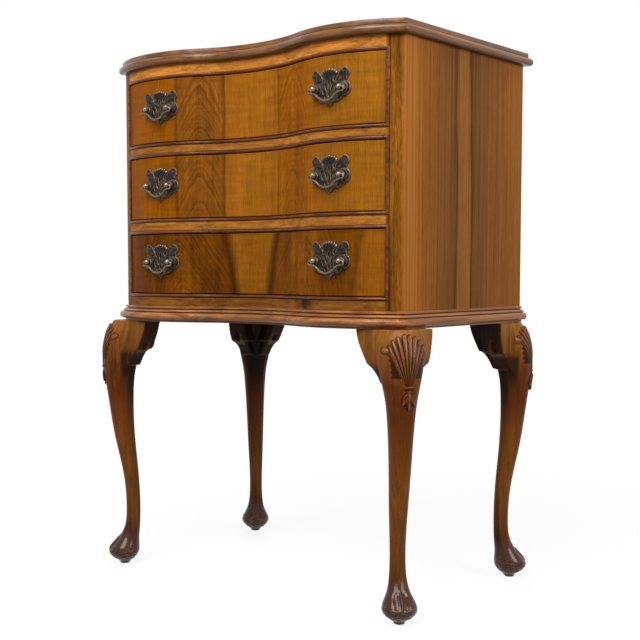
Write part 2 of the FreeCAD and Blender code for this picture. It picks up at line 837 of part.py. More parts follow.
def make_post(name, across, away, plate, handle_z):
    """A turned post with a round head, an eye for the bail's pin and a shank through the front.

    The front falls back on the side away from the bow's peak: there the collar's edge just reaches the
    plate and the nut's edge comes nearest the wood, and the rest of the collar is hollowed to the plate.
    """
    pivot = pivot_line()
    seat_gap = sized("plate_seat_gap")
    plate_outer = seat_gap + sized("plate_thickness") - sized("front_setback")
    plate_inner = seat_gap - sized("front_setback")
    collar = sized("post_collar_radius") * away
    # Where the bow is steep, the collar ends at the plate's inner face, so that none of it lies behind.
    plate_face = least(front_at(across + collar, plate_outer), front_at(across - collar, plate_inner))
    inner = -sized("front_setback") - sized("front_thickness")
    nut_face = front_at(across + sized("nut_radius") * away, inner) + seat_gap
    head = sized("post_head_radius")
    neck = sized("post_neck_radius")
    neck_end = root(head * head - neck * neck)
    body = new_body(name)
    profile = [
        (as_size(0), pivot - head, (head, 1)),
        (head, pivot, (head, 1)),
        (neck, pivot + neck_end, None),
        (neck, plate_face - sized("post_collar_height"), None),
        (sized("post_collar_radius"), plate_face - sized("post_collar_height"), None),
        (sized("post_collar_radius"), plate_face, None),
        (sized("shank_radius"), plate_face, None),
        (sized("shank_radius"), nut_face + sized("nut_height") * 2, None),
        (as_size(0), nut_face + sized("nut_height") * 2, None),
    ]
    turned = body.newObject("PartDesign::Revolution", f"{name}_turned")
    sketch = draw(sketch_on(body, "XY_Plane"), profile)
    turned.Profile = sketch
    turned.ReferenceAxis = (sketch, ["V_Axis"])
    turned.Angle = 360
    eye = sketch_on(body, "YZ_Plane")
    draw_circle(eye, pivot, 0, sized("bail_pin_radius") + sized("bail_pin_gap"))
    cut_through(body, eye, both_ways=True)
    place(body, across, as_size(0), handle_z)
    post = cut(f"{name}_seated", body, plate)
    nut = new_body(f"{name}_nut")
    ring = sketch_on(nut, "XZ_Plane", -nut_face - sized("nut_height"))
    draw_circle(ring, across, handle_z, sized("nut_radius"))
    draw_circle(ring, across, handle_z, sized("shank_radius") + sized("shank_gap"))
    pad(nut, ring, sized("nut_height"))
    return [post, nut]


def make_bail(name, middle, handle_z):
    """A swan-neck bail: a bow, necks that sweep out below the posts, and curls that turn back in to them."""
    curl = sized("bail_curl_radius")
    bow = sized("bail_bow_radius")
    reach = sized("post_spacing") / 2
    # The bow meets each neck at 45 degrees, and the neck runs level into the curl.
    slope = root(as_size(0.5))
    curl_x = reach + sized("post_head_radius") + sized("bail_side_gap")
    neck = curl_x / slope - bow
    rise = as_size(1) - slope
    drop = curl * 2 + (bow + neck) * rise
    body = new_body(name)
    spine = draw(
        sketch_on(body, "XZ_Plane"),
        [
            (as_size(0), -drop, (bow, 1)),
            (bow * slope, bow * rise - drop, (neck, -1)),
            (curl_x, -curl * 2, (curl, 1)),
            (curl_x + curl, -curl, (curl, 1)),
            (curl_x, as_size(0), None),
        ],
        closed=False,
    )
    section = sketch_on(body, "YZ_Plane")
    draw_circle(section, 0, -drop, sized("bail_radius"))
    wire = pipe(body, section, spine)
    pin_sketch = sketch_on(body, "YZ_Plane", curl_x - sized("bail_pin_length"))
    draw_circle(pin_sketch, 0, 0, sized("bail_pin_radius"))
    pin = pad(body, pin_sketch, sized("bail_pin_length") + sized("bail_radius"))
    mirror_across(body, [wire, pin])
    place(body, middle, pivot_line(), handle_z)
    return body


def make_handles(name, handle_z):
    """Two handles per drawer: a plate, two posts with nuts and a bail each."""
    plate = make_backplate(name, handle_z)
    keep(f"handle_backplates_{name}", group(f"{name}_plate_pair", pair(f"{name}_plate", plate)))
    fixings = []
    for word, across, away in zip(("near", "far"), post_places()[2:], (-1, 1)):
        for piece in make_post(f"{name}_{word}_post", across, away, plate, handle_z):
            fixings += pair(piece.Name, piece)
    keep(f"handle_posts_{name}", group(f"{name}_post_set", fixings))
    for side, middle in (("left", -handle_x), ("right", handle_x)):
        keep(f"bail_{name}_{side}", make_bail(f"{name}_bail_{side}", middle, handle_z))


# Legs

front_foot_x = half_case + sized("front_foot_out")
front_foot_y = front_line - sized("front_foot_forward")
rear_foot_x = half_case - sized("rear_foot_in")
rear_foot_y = back_line - sized("rear_foot_forward")
# Each leg faces out along its own diagonal: the front right one is drawn, the others are turned.
FEET = {
    "front_right": (front_foot_x, front_foot_y, 0),
    "rear_right": (rear_foot_x, rear_foot_y, 90),
    "rear_left": (-rear_foot_x, rear_foot_y, 180),
    "front_left": (-front_foot_x, front_foot_y, 270),
}
DIAGONAL = -45


def make_leg(name, x, y, turn):
    """A cabriole leg lofted through its stations: pad foot, slim ankle, shank, knee and square collar."""
    body = new_body(f"{name}_leg")
    stations = [(station, sized(f"{station}_height")) for station in LOWER_STATIONS]
    stations += [(station, leg_top - sized(f"{station}_height")) for station in UPPER_STATIONS]
    sections = []
    for station, height in stations:
        out = sized(f"{station}_out")
        back = sized(f"{station}_back")
        half = sized(f"{station}_half")
        middle = (out - back) / 2
        reach = out - middle
        radius = root(reach * reach + half * half) * sized(f"{station}_round")
        bend = (radius, 1)
        corners = [(out, as_size(0), bend), (middle, half, bend)]
        corners += [(-back, as_size(0), bend), (middle, -half, bend)]
        sections.append(draw(sketch_on(body, "XY_Plane", height), corners))
    loft = body.newObject("PartDesign::AdditiveLoft", f"{name}_loft")
    loft.Profile = sections[0]
    loft.Sections = sections[1:]
    return place(body, x, y, as_size(0), turn + DIAGONAL)


def make_bracket(name, leg, role, way, reach, x, y, turn):
    """A knee bracket beside a leg: swelling end, flat outer face, bored from below for its screw."""
    body = new_body(name)
    low = leg_top - sized("bracket_height")
    chord_x = reach - sized("bracket_cusp_reach")
    chord = root(chord_x * chord_x + sized("bracket_height") * sized("bracket_height"))
    swell = sagitta_radius(chord, sized("bracket_swell"))
    corners = [
        (sized("bracket_root") * way, low, None),
        (sized("bracket_cusp_reach") * way, low, (swell, way)),
        (reach * way, leg_top, None),
        (sized("bracket_root") * way, leg_top, None),
    ]
    inner = sized("bracket_thickness") - sized("bracket_face")
    pad(body, draw(sketch_on(body, role, -inner), corners), sized("bracket_thickness"))
    middle = (inner - sized("bracket_face")) / 2
    along = sized("screw_reach") * way
    hole_x, hole_y = (along, middle) if role == "XZ_Plane" else (-middle, along)
    head_level = leg_top - sized("screw_grip")
    shank = sketch_on(body, "XY_Plane", leg_top)
    cut_through(body, draw_circle(shank, hole_x, hole_y, sized("screw_radius") + sized("screw_gap")))
    head = sketch_on(body, "XY_Plane", head_level)
    cut_through(body, draw_circle(head, hole_x, hole_y, sized("screw_head_radius") + sized("screw_gap")))
    place(body, x, y, as_size(0), turn)
    screw = new_body(f"{name}_screw")
    shank = draw_circle(sketch_on(screw, "XY_Plane", head_level), hole_x, hole_y, sized("screw_radius"))
    pad(screw, shank, sized("screw_grip") + sized("screw_bite"))
    head = sketch_on(screw, "XY_Plane", head_level - sized("screw_head_height"))
    pad(screw, draw_circle(head, hole_x, hole_y, sized("screw_head_radius")), sized("screw_head_height"))
    place(screw, x, y, as_size(0), turn)
    pilot = new_body(f"{name}_pilot")
    pilot_sketch = sketch_on(pilot, "XY_Plane", leg_top)
    pad(pilot, draw_circle(pilot_sketch, hole_x, hole_y, sized("screw_radius")), sized("screw_bite"))
    place(pilot, x, y, as_size(0), turn)
    return cut(f"{name}_fitted", body, leg), screw, pilot


def make_legs():
    """Four legs with two brackets each; gives the pilot holes that the screws need in the base."""
    screws = []
    pilots = []
    for name, (x, y, turn) in FEET.items():
        leg = make_leg(name, x, y, turn)
        brackets = []
        # The brackets along the front and back are longer than those along the sides.
        reaches = [sized("bracket_reach"), sized("side_bracket_reach")]
        if turn % 180:
            reaches.reverse()
        for number, (role, way) in enumerate((("XZ_Plane", -1), ("YZ_Plane", 1))):
            part_name = f"{name}_bracket_{number}"
            bracket, screw, pilot = make_bracket(part_name, leg, role, way, reaches[number], x, y, turn)
            brackets.append(bracket)
            screws.append(screw)
            pilots.append(pilot)
        keep(f"leg_{name}", leg)
        keep(f"knee_brackets_{name}", group(f"{name}_bracket_pair", brackets))
    keep("bracket_screws", group("screw_set", screws))
    return group("pilot_holes", pilots)


def main():
    make_top_board()
    make_side_panels()
    make_front_stiles()
    make_rail("bottom_rail", case_bottom, sized("bottom_rail_height"))
    make_rail("lower_drawer_rail", LEVELS["bottom"][1], sized("lower_rail_height"))
    make_rail("upper_drawer_rail", LEVELS["middle"][1], sized("upper_rail_height"))
    make_rail("top_rail", LEVELS["top"][1], sized("top_rail_height"))
    make_case_boards()
    make_guides()
    for name, (bottom, top) in LEVELS.items():
        make_bead_frame(f"cock_bead_{name}", bottom, top)
        make_drawer(name, bottom, top)
    make_base(make_legs())
    doc.recompute()

    for item in doc.Objects:
        if "Invalid" in item.State or "Error" in item.State:
            raise RuntimeError(f"{item.Label} failed: {item.State}")
    for name, piece in NODES.items():
        if piece.Shape.isNull() or not piece.Shape.isValid():
            raise RuntimeError(f"{name} has no valid shape")
    os.makedirs("parts", exist_ok=True)
    for name, piece in NODES.items():
        piece.Shape.exportStep(f"parts/{name}.step")
    print(len(NODES), "pieces written")


main()
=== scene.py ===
"""Looks of a small walnut chest of drawers: serpentine front, bail handles, shell-carved cabriole legs."""
import json
import math

import bmesh
import bpy
import numpy as np
from mathutils import Matrix, Vector


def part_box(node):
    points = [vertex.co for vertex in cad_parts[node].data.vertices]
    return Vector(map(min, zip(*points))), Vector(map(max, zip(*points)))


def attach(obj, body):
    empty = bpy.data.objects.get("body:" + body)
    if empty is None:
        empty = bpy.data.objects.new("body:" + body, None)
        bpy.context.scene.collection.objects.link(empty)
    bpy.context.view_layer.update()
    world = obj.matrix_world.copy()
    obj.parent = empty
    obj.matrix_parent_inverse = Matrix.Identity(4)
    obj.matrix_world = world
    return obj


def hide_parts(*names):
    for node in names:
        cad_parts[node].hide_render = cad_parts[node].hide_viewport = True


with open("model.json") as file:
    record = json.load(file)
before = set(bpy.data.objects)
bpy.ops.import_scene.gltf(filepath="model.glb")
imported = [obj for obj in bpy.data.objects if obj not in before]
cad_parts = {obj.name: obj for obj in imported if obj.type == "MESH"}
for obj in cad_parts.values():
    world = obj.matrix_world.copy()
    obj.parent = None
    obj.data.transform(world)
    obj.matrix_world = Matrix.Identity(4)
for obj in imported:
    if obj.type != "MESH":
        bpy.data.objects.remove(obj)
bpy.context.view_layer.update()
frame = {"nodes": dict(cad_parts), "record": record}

nodes = frame["nodes"]

# Sizes of the solids that the pieces follow, in metres
HALF_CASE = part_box("side_panel_right")[1].x
FRONT_LINE = -0.1375
BACK_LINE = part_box("side_panel_right")[1].y
BOW_X = 0.157
BOW_Y = 0.0035
BOW_RADIUS = 0.167
HOLLOW_Y = -0.342
HOLLOW_RADIUS = 0.2125
HOLLOW_MIDDLE = HOLLOW_Y + HOLLOW_RADIUS
TURN = math.atan2(BOW_X, BOW_Y - HOLLOW_Y)
HALF_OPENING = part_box("upper_drawer_rail")[1].x
BEAD = 0.004
BASE_QUIRKS = (0.3843, 0.3798)
TOP_QUIRK = 0.7362
HANDLE_X = 0.1502
POST_REACH = 0.0205
PIVOT_Y = -0.17076
INSIDE_FRONT = -0.155
FEET = {
    "front_right": (0.2487, -0.1471, 1, 1),
    "rear_right": (0.242, 0.145, 1, -1),
    "rear_left": (-0.242, 0.145, -1, -1),
    "front_left": (-0.2487, -0.1471, -1, 1),
}
DRAWERS = ("top", "middle", "bottom")
HANDLE_Z = {drawer: sum(corner.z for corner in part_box(f"handle_posts_{drawer}")) / 2 for drawer in DRAWERS}

# Vertices of one piece that lie closer than this are merged.
MERGE = 0.00002
FLIP = Matrix.Scale(-1, 4, (1, 0, 0))


def front_at(across, proud=0.0):
    """Y of the front line, so far across and so far proud of it."""
    across = abs(across)
    if across > BOW_X * HOLLOW_RADIUS / (HOLLOW_RADIUS + BOW_RADIUS):
        return BOW_Y - math.sqrt((BOW_RADIUS + proud) ** 2 - (across - BOW_X) ** 2)
    return HOLLOW_Y + math.sqrt((HOLLOW_RADIUS - proud) ** 2 - across**2)


# Bench tools


def only(piece):
    """Selects one piece alone and makes it active."""
    bpy.ops.object.select_all(action="DESELECT")
    piece.select_set(True)
    bpy.context.view_layer.objects.active = piece
    return piece


def enter(piece):
    """Opens a piece in edit mode with all of it selected."""
    only(piece)
    bpy.ops.object.mode_set(mode="EDIT")
    bpy.ops.mesh.select_mode(type="VERT")
    bpy.ops.mesh.select_all(action="SELECT")


def leave():
    """Closes edit mode."""
    bpy.ops.object.mode_set(mode="OBJECT")


def pick(piece, kind, test):
    """In edit mode, selects the vertices, edges or faces whose middle and normal pass a test."""
    bpy.ops.mesh.select_all(action="DESELECT")
    bpy.ops.mesh.select_mode(type=kind)
    mesh = bmesh.from_edit_mesh(piece.data)
    if kind == "FACE":
        for face in mesh.faces:
            face.select_set(test(face.calc_center_median(), face.normal))
    elif kind == "EDGE":
        for edge in mesh.edges:
            first, last = (end.co for end in edge.verts)
            edge.select_set(test((first + last) / 2, last - first))
    else:
        for vert in mesh.verts:
            vert.select_set(test(vert.co, vert.normal))
    mesh.select_flush_mode()
    bmesh.update_edit_mesh(piece.data)


def apply(piece, kind, **settings):
    """Adds a modifier to a piece and applies it."""
    only(piece)
    step = piece.modifiers.new(kind.lower(), kind)
    for name, value in settings.items():
        setattr(step, name, value)
    bpy.ops.object.modifier_apply(modifier=step.name)


def smooth(piece, angle):
    """Smooths a piece's shading, except over edges sharper than the angle in degrees."""
    only(piece)
    bpy.ops.object.shade_smooth_by_angle(angle=math.radians(angle))
    return piece


def tidy(piece, angle=35):
    """Merges doubles, turns the faces outwards and smooths what isn't an edge."""
    enter(piece)
    bpy.ops.mesh.remove_doubles(threshold=MERGE)
    bpy.ops.mesh.normals_make_consistent(inside=False)
    leave()
    return smooth(piece, angle)


def join(pieces, name):
    """Joins pieces into the first of them and names it."""
    bpy.ops.object.select_all(action="DESELECT")
    for piece in pieces:
        piece.select_set(True)
    bpy.context.view_layer.objects.active = pieces[0]
    if len(pieces) > 1:
        bpy.ops.object.join()
    pieces[0].name = name
    return pieces[0]


def twin(piece, name, move=None):
    """A copy of a piece with its own mesh, moved in its mesh."""
    copy = piece.copy()
    copy.data = piece.data.copy()
    copy.name = name
    bpy.context.scene.collection.objects.link(copy)
    if move is not None:
        copy.data.transform(move)
        if move.determinant() < 0:
            copy.data.flip_normals()
    return copy


def copy_of(node, name):
    """A merged copy of a solid, to be worked on."""
    piece = twin(nodes[node], name)
    piece.parent = None
    for key in list(piece.keys()):
        del piece[key]
    piece.matrix_world = Matrix.Identity(4)
    enter(piece)
    bpy.ops.mesh.customdata_custom_splitnormals_clear()
    bpy.ops.mesh.remove_doubles(threshold=MERGE / 2)
    leave()
    piece.data.materials.clear()
    return piece


def drop_left(piece):
    """Deletes a piece's left half, in edit mode."""
    pick(piece, "VERT", lambda spot, normal: spot.x < 0)
    bpy.ops.mesh.delete(type="VERT")


def points_of(piece):
    """Places and normals of a piece's vertices, a row each."""
    rows = []
    for kind in ("co", "normal"):
        values = np.empty(len(piece.data.vertices) * 3)
        piece.data.vertices.foreach_get(kind, values)
        rows.append(values.reshape(-1, 3))
    return rows


def point(name, place):
    """A single point, the start of an outline."""
    bpy.ops.object.select_all(action="DESELECT")
    bpy.ops.mesh.primitive_plane_add(size=0.01)
    piece = bpy.context.object
    piece.name = name
    enter(piece)
    bpy.ops.mesh.merge(type="CENTER")
    bpy.ops.transform.translate(value=place)
    return piece


def reach_of(piece):
    """The selected end of an outline."""
    mesh = bmesh.from_edit_mesh(piece.data)
    return next(vert.co.copy() for vert in mesh.verts if vert.select)


def draw_to(piece, *places):
    """Draws an outline on from its selected end through more places."""
    for place in places:
        step = Vector(place) - reach_of(piece)
        bpy.ops.mesh.extrude_region_move(TRANSFORM_OT_translate={"value": step})


def bend_to(piece, place, bulge, steps=6):
    """Draws an arc on from the outline's end to a place in the same x or z plane; bulge is its height."""
    start, end = reach_of(piece), Vector(place)
    chord = end - start
    axis = Vector((1, 0, 0)) if abs(chord.x) < 1e-7 else Vector((0, 0, 1))
    side = axis.cross(chord).normalized()
    radius = (chord.length**2 / 4 + bulge**2) / (2 * abs(bulge))
    centre = (start + end) / 2 + side * math.copysign(radius - abs(bulge), bulge)
    sweep = 2 * math.asin(min(chord.length / 2 / radius, 1)) * math.copysign(1, bulge)
    for step in range(1, steps + 1):
        turned = Matrix.Rotation(sweep * step / steps, 3, axis) @ (start - centre)
        draw_to(piece, centre + turned)


def raise_outline(step):
    """Fills the outline in edit mode and draws the face out by a step."""
    bpy.ops.mesh.select_all(action="SELECT")
    bpy.ops.mesh.edge_face_add()
    bpy.ops.mesh.extrude_region_move(TRANSFORM_OT_translate={"value": step})


def spin_front(end_angle):
    """Spins what is selected along the right half of the front line: hollow first, then bow."""
    bpy.ops.mesh.spin(steps=16, angle=TURN, center=(0, HOLLOW_Y, 0), axis=(0, 0, 1))
    bpy.ops.mesh.spin(steps=28, angle=-(TURN + end_angle), center=(BOW_X, BOW_Y, 0), axis=(0, 0, 1))


def slice_off(place, normal):
    """Cuts the mesh in edit mode and drops what lies past the cut."""
    bpy.ops.mesh.select_all(action="SELECT")
    bpy.ops.mesh.bisect(plane_co=place, plane_no=normal, use_fill=True, clear_outer=True)


def section_at_middle(name, places):
    """A closed section in the plane x = 0; each place is (proud, height) or (proud, height, bulge)."""
    spots = [Vector((0, HOLLOW_MIDDLE - place[0], place[1])) for place in places]
    piece = point(name, spots[0])
    for index in range(1, len(spots)):
        if len(places[index]) > 2:
            bend_to(piece, spots[index], places[index][2])
        else:
            draw_to(piece, spots[index])
    bpy.ops.mesh.select_all(action="SELECT")
    ends = [v for v in bmesh.from_edit_mesh(piece.data).verts if len(v.link_edges) == 1]
    bpy.ops.mesh.select_all(action="DESELECT")
    for vert in ends:
        vert.select_set(True)
    bpy.ops.mesh.edge_face_add()
    bpy.ops.mesh.select_all(action="SELECT")
    return piece


PAST_THE_END = math.radians(38)


def front_run(name, places, slices):
    """A section swept along the whole front and cut at both ends."""
    piece = section_at_middle(name, places)
    spin_front(PAST_THE_END)
    for place, normal in slices:
        slice_off(place, normal)
    leave()
    apply(piece, "MIRROR", use_clip=True, merge_threshold=MERGE)
    return tidy(piece)


def dress(piece, body, replaced, finish):
    """Gives a finished piece its material, its body and the nodes that it stands for."""
    piece.data.materials.clear()
    piece.data.materials.append(finish)
    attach(piece, body)
    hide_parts(*replaced)


# Materials


def tone(code):
    """Linear colour of an sRGB hex value, or a grey of that value."""
    if isinstance(code, (int, float)):
        return (code, code, code, 1)
    parts = [int(code[start : start + 2], 16) / 255 for start in (1, 3, 5)]
    return [p / 12.92 if p <= 0.04045 else ((p + 0.055) / 1.055) ** 2.4 for p in parts] + [1]


def plug(tree, node, socket, source):
    """Links a node, or a (node, output) pair, to a socket, or gives the socket a plain value."""
    giver, output = source if isinstance(source, tuple) and len(source) == 2 else (source, 0)
    if isinstance(giver, bpy.types.Node):
        tree.links.new(giver.outputs[output], node.inputs[socket])
    else:
        node.inputs[socket].default_value = source


def add(tree, kind, links=None, **settings):
    """Adds a node with its settings, and its links or plain values."""
    node = tree.nodes.new("ShaderNode" + kind)
    for name, value in settings.items():
        setattr(node, name, value)
    for socket, source in (links or {}).items():
        plug(tree, node, socket, source)
    return node


def calc(tree, operation, *values, **settings):
    """A sum on one to three links or plain values."""
    return add(tree, "Math", dict(enumerate(values)), operation=operation, **settings)


def span(tree, value, *limits):
    """Turns a range of values into another: from least, from most, to least (0) and to most (1)."""
    sockets = ("Value", "From Min", "From Max", "To Min", "To Max")
    return add(tree, "MapRange", dict(zip(sockets, (value, *limits))))


def blend(tree, share, first, last):
    """Mixes two colours by the last one's share."""
    return add(tree, "Mix", {0: share, 6: first, 7: last}, data_type="RGBA"), 2


def ramp(tree, value, stops):
    """A colour ramp through stops of (place, colour)."""
    node = add(tree, "ValToRGB", {"Fac": value})
    elements = node.color_ramp.elements
    elements[0].position, elements[1].position = stops[0][0], stops[-1][0]
    for place, _ in stops[1:-1]:
        elements.new(place)
    for element, (_, colour) in zip(elements, stops):
        element.color = tone(colour)
    return node


def place_on(tree):
    """A spot's place on its piece."""
    return add(tree, "TexCoord"), "Object"


def axes(tree):
    """A spot's place, split into X, Y and Z."""
    return add(tree, "SeparateXYZ", {0: place_on(tree)})


def opened(material):
    """A material's node tree and shader."""
    return material.node_tree, material.node_tree.nodes["Principled BSDF"]


def retone(tree, shader, factor):
    """Multiplies the colour that a shader has so far by a factor."""
    source = shader.inputs["Base Color"].links[0].from_socket
    toned = add(tree, "VectorMath", {"Scale": factor}, operation="SCALE")
    tree.links.new(source, toned.inputs[0])
    plug(tree, shader, "Base Color", toned)
    return toned


def begin(name, **sockets):
    """A new material: its node tree and its shader with plain values set."""
    material = bpy.data.materials.new(name)
    material.use_nodes = True
    tree, shader = opened(material)
    for socket, value in sockets.items():
        shader.inputs[socket.replace("_", " ")].default_value = value
    return material, tree, shader


def grain(tree, across, along, axis="Z", detail=4):
    """Noise drawn out along the grain; both sizes are in millimetres. Grain "round" follows mitred edges."""
    place = place_on(tree)
    fine, long = 1000 / across, 1000 / along
    runs = {name: tuple(long if name == other else fine for other in "XYZ") for name in "XYZ"}
    if axis == "round":
        split = axes(tree)
        side = calc(tree, "ABSOLUTE", (split, "X"))
        side = calc(tree, "GREATER_THAN", side, HALF_CASE)
        scale = (add(tree, "Mix", {0: side, 4: runs["X"], 5: runs["Y"]}, data_type="VECTOR"), 1)
    else:
        scale = runs[axis]
    spread = add(tree, "Mapping", {"Vector": place, "Scale": scale})
    return add(tree, "TexNoise", {"Vector": spread, "Scale": 1, "Detail": detail, "Roughness": 0.55})


def shade(tree, *parts):
    """Multiplies parts (noise, low, high): each noise is turned into a factor from low to high."""
    total = None
    for noise, low, high in parts:
        factor = span(tree, noise, 0.3, 0.7, low, high)
        total = factor if total is None else calc(tree, "MULTIPLY", total, factor)
    return total


def polish(tree, shader, colour, factor, relief, depth):
    """Joins colour, its shading and a fine relief to the shader."""
    shaded = add(tree, "VectorMath", {0: colour, "Scale": factor}, operation="SCALE")
    plug(tree, shader, "Base Color", shaded)
    bump = add(tree, "Bump", {"Height": relief, "Strength": 0.25, "Distance": depth})
    plug(tree, shader, "Normal", bump)


OLD_POLISH = {"Roughness": 0.42, "Specular_IOR_Level": 0.03, "Coat_Weight": 0.035, "Coat_Roughness": 0.14}
PORE_RELIEF = 0.0002
VENEER_RELIEF = 0.00015


def plain_walnut(name, light, dark, axis, pore=1.0, **sockets):
    """Straight-grained walnut under old polish: streaks along the grain, dark open pores, soft gloss."""
    material, tree, shader = begin(name, **{**OLD_POLISH, **sockets})
    streaks = grain(tree, 5, 160, axis)
    fibres = grain(tree, 1.6, 60, axis)
    # Real pores are 0.2 mm wide; they are drawn 1.1 mm wide so that they show.
    pores = grain(tree, 1.1, 9, axis, 2)
    clouds = grain(tree, 60, 180, axis, 2)
    colour = ramp(tree, streaks, [(0.34, dark), (0.64, light)])
    open_pores = (pores, 1.0 + 0.1 * pore, 1.0 - 0.28 * pore)
    factor = shade(tree, (fibres, 0.8, 1.16), (clouds, 0.8, 1.16), open_pores)
    polish(tree, shader, colour, factor, pores, PORE_RELIEF)
    return material


LEAF_REACH = 240


def crown_rings(tree, place, height, offset, smoke):
    """A crown figure's growth rings, light and dark about 0: uneven bands, steep at the sides, wavering.

    height and offset are in millimetres above the figure's foot and aside from its middle.
    """
    steep = calc(tree, "MULTIPLY_ADD", offset, offset, 90)
    steep = calc(tree, "SQRT", steep)
    rings = calc(tree, "MULTIPLY_ADD", steep, 2.1, height)
    for scale, reach in ((24, 26), (130, 5)):
        waver = add(tree, "TexNoise", {"Vector": place, "Scale": scale, "Detail": 3})
        rings = calc(tree, "MULTIPLY_ADD", waver, reach, rings)
    clouds = grain(tree, 16, 90, detail=3)
    cloudy = span(tree, clouds, 0.35, 0.65, -smoke, 0.6 * smoke)
    lines = None
    for width, low, high in ((9, 0.1, -0.2), (3.6, 0.08, -0.2)):
        strand = calc(tree, "MULTIPLY", rings, 1 / width)
        strand = add(tree, "TexNoise", {"W": strand, "Scale": 1, "Detail": 2}, noise_dimensions="1D")
        strand = span(tree, strand, 0.38, 0.64, low, high)
        lines = strand if lines is None else calc(tree, "ADD", lines, strand)
    return calc(tree, "ADD", lines, cloudy)


def plate_shade_and_dirt(tree, split, factor):
    """Darkens a shading factor behind the pierced plates: painted shade that makes their holes look dark,
    with the wax and dirt that polishing left there.
    """
    half_wide, half_high = 0.027, 0.02
    reach = (1 / half_wide, 0, 1 / half_high)
    aside = calc(tree, "ABSOLUTE", (split, "X"))
    for handle_z in HANDLE_Z.values():
        spot = (HANDLE_X, 0, handle_z - 0.001)
        middle = add(tree, "CombineXYZ", {"X": aside, "Z": (split, "Z")})
        middle = add(tree, "VectorMath", {0: middle, 1: spot}, operation="SUBTRACT")
        middle = add(tree, "VectorMath", {0: middle, 1: reach}, operation="MULTIPLY")
        far = add(tree, "VectorMath", {0: middle}, operation="LENGTH")
        unshaded_share = span(tree, (far, "Value"), 0.62, 1.1, 0.3, 1)
        factor = calc(tree, "MULTIPLY", factor, unshaded_share)
    return factor


def drawer_veneer(name, left, right, crown, spread, slope, level, smoke):
    """Book-matched walnut veneer: plain leaves with a cross ripple beside leaves with a pointed crown figure.

    left and right are the leaves' colours by distance from the middle join in millimetres; crown is the
    crown's middle, spread its half width, slope tilts the leaf edges with the height above level, and
    smoke is how strongly dark clouds run through the crown.
    """
    material, tree, shader = begin(name, **OLD_POLISH)
    place, split = place_on(tree), axes(tree)
    across = calc(tree, "MULTIPLY_ADD", (split, "X"), 1000, 7)
    height = calc(tree, "MULTIPLY_ADD", (split, "Z"), 1000, -level)
    drift = add(tree, "TexNoise", {"Vector": place, "Scale": 22, "Detail": 2})
    drift = calc(tree, "MULTIPLY_ADD", drift, 10, -5)
    away = calc(tree, "ABSOLUTE", across)
    away = calc(tree, "MULTIPLY_ADD", height, -slope, away)
    leaf = calc(tree, "MULTIPLY_ADD", drift, 0.7, away)
    leaf = calc(tree, "DIVIDE", leaf, LEAF_REACH)
    leaves = []
    for stops in (left, right):
        spots = [(far / LEAF_REACH, colour) for far, colour in stops]
        leaves.append(ramp(tree, leaf, spots))
    side = calc(tree, "GREATER_THAN", across, 0)
    colour = blend(tree, side, leaves[0], leaves[1])
    offset = calc(tree, "ADD", away, -crown)
    offset = calc(tree, "ABSOLUTE", offset)
    lines = crown_rings(tree, place, height, offset, smoke)
    inside = span(tree, offset, spread, spread * 0.7, 0.1, 1)
    calm = span(tree, side, 0, 1, 1, 0.7)
    inside = calc(tree, "MULTIPLY", inside, calm)
    lines = calc(tree, "MULTIPLY_ADD", lines, inside, 1)
    fibres = grain(tree, 1.8, 60)
    streaks = grain(tree, 8, 200)
    shadows = grain(tree, 45, 70, detail=2)
    ripple_axis = add(tree, "Mapping", {"Vector": place, "Scale": (24, 24, 190)})
    ripple = add(tree, "TexNoise", {"Vector": ripple_axis, "Scale": 1, "Detail": 3})
    # Real pores are 0.2 mm wide; they are drawn 1.2 mm wide so that they show.
    pores = grain(tree, 1.2, 9, detail=2)
    factor = shade(
        tree,
        (fibres, 0.84, 1.14),
        (streaks, 0.88, 1.1),
        (shadows, 0.87, 1.1),
        (ripple, 0.86, 1.12),
        (pores, 1.06, 0.8),
    )
    factor = calc(tree, "MULTIPLY", factor, lines)
    # Painted shade behind the handle plates, with their wax and dirt.
    factor = plate_shade_and_dirt(tree, split, factor)
    polish(tree, shader, colour, factor, pores, VENEER_RELIEF)
    return material


def side_veneer(name):
    """Quartered walnut veneer on the sides: upright bands from gold to grey brown, dark lines between."""
    finish = {"Roughness": 0.45, "Specular_IOR_Level": 0.03, "Coat_Weight": 0.03, "Coat_Roughness": 0.2}
    material, tree, shader = begin(name, **finish)
    split = axes(tree)
    drift = grain(tree, 26, 260, detail=3)
    wander = 0.026
    depth = calc(tree, "MULTIPLY_ADD", drift, wander, (split, "Y"))
    share = span(tree, depth, FRONT_LINE + wander / 2, BACK_LINE + wander / 2)
    bands = [
        (0.0, "#b16f2b"), (0.1, "#aa692a"), (0.15, "#965a20"), (0.24, "#8e551f"), (0.28, "#835221"),
        (0.39, "#784a1e"), (0.41, "#583413"), (0.43, "#8f5c27"), (0.505, "#966027"), (0.525, "#563213"),
        (0.55, "#784a21"), (0.66, "#7b4b21"), (0.7, "#854f20"), (0.82, "#8c531f"), (1.0, "#935c20"),
    ]
    colour = ramp(tree, share, bands)
    lines = grain(tree, 3.2, 420)
    fibres = grain(tree, 1.7, 120)
    streaks = grain(tree, 9, 300)
    # Real pores are 0.2 mm wide; they are drawn 1.2 mm wide so that they show.
    pores = grain(tree, 1.2, 10, detail=2)
    clouds = grain(tree, 70, 90, detail=2)
    factor = shade(
        tree,
        (lines, 1.24, 0.7),
        (fibres, 0.84, 1.14),
        (streaks, 0.88, 1.1),
        (clouds, 0.92, 1.07),
        (pores, 1.05, 0.84),
    )
    polish(tree, shader, colour, factor, pores, VENEER_RELIEF)
    return material


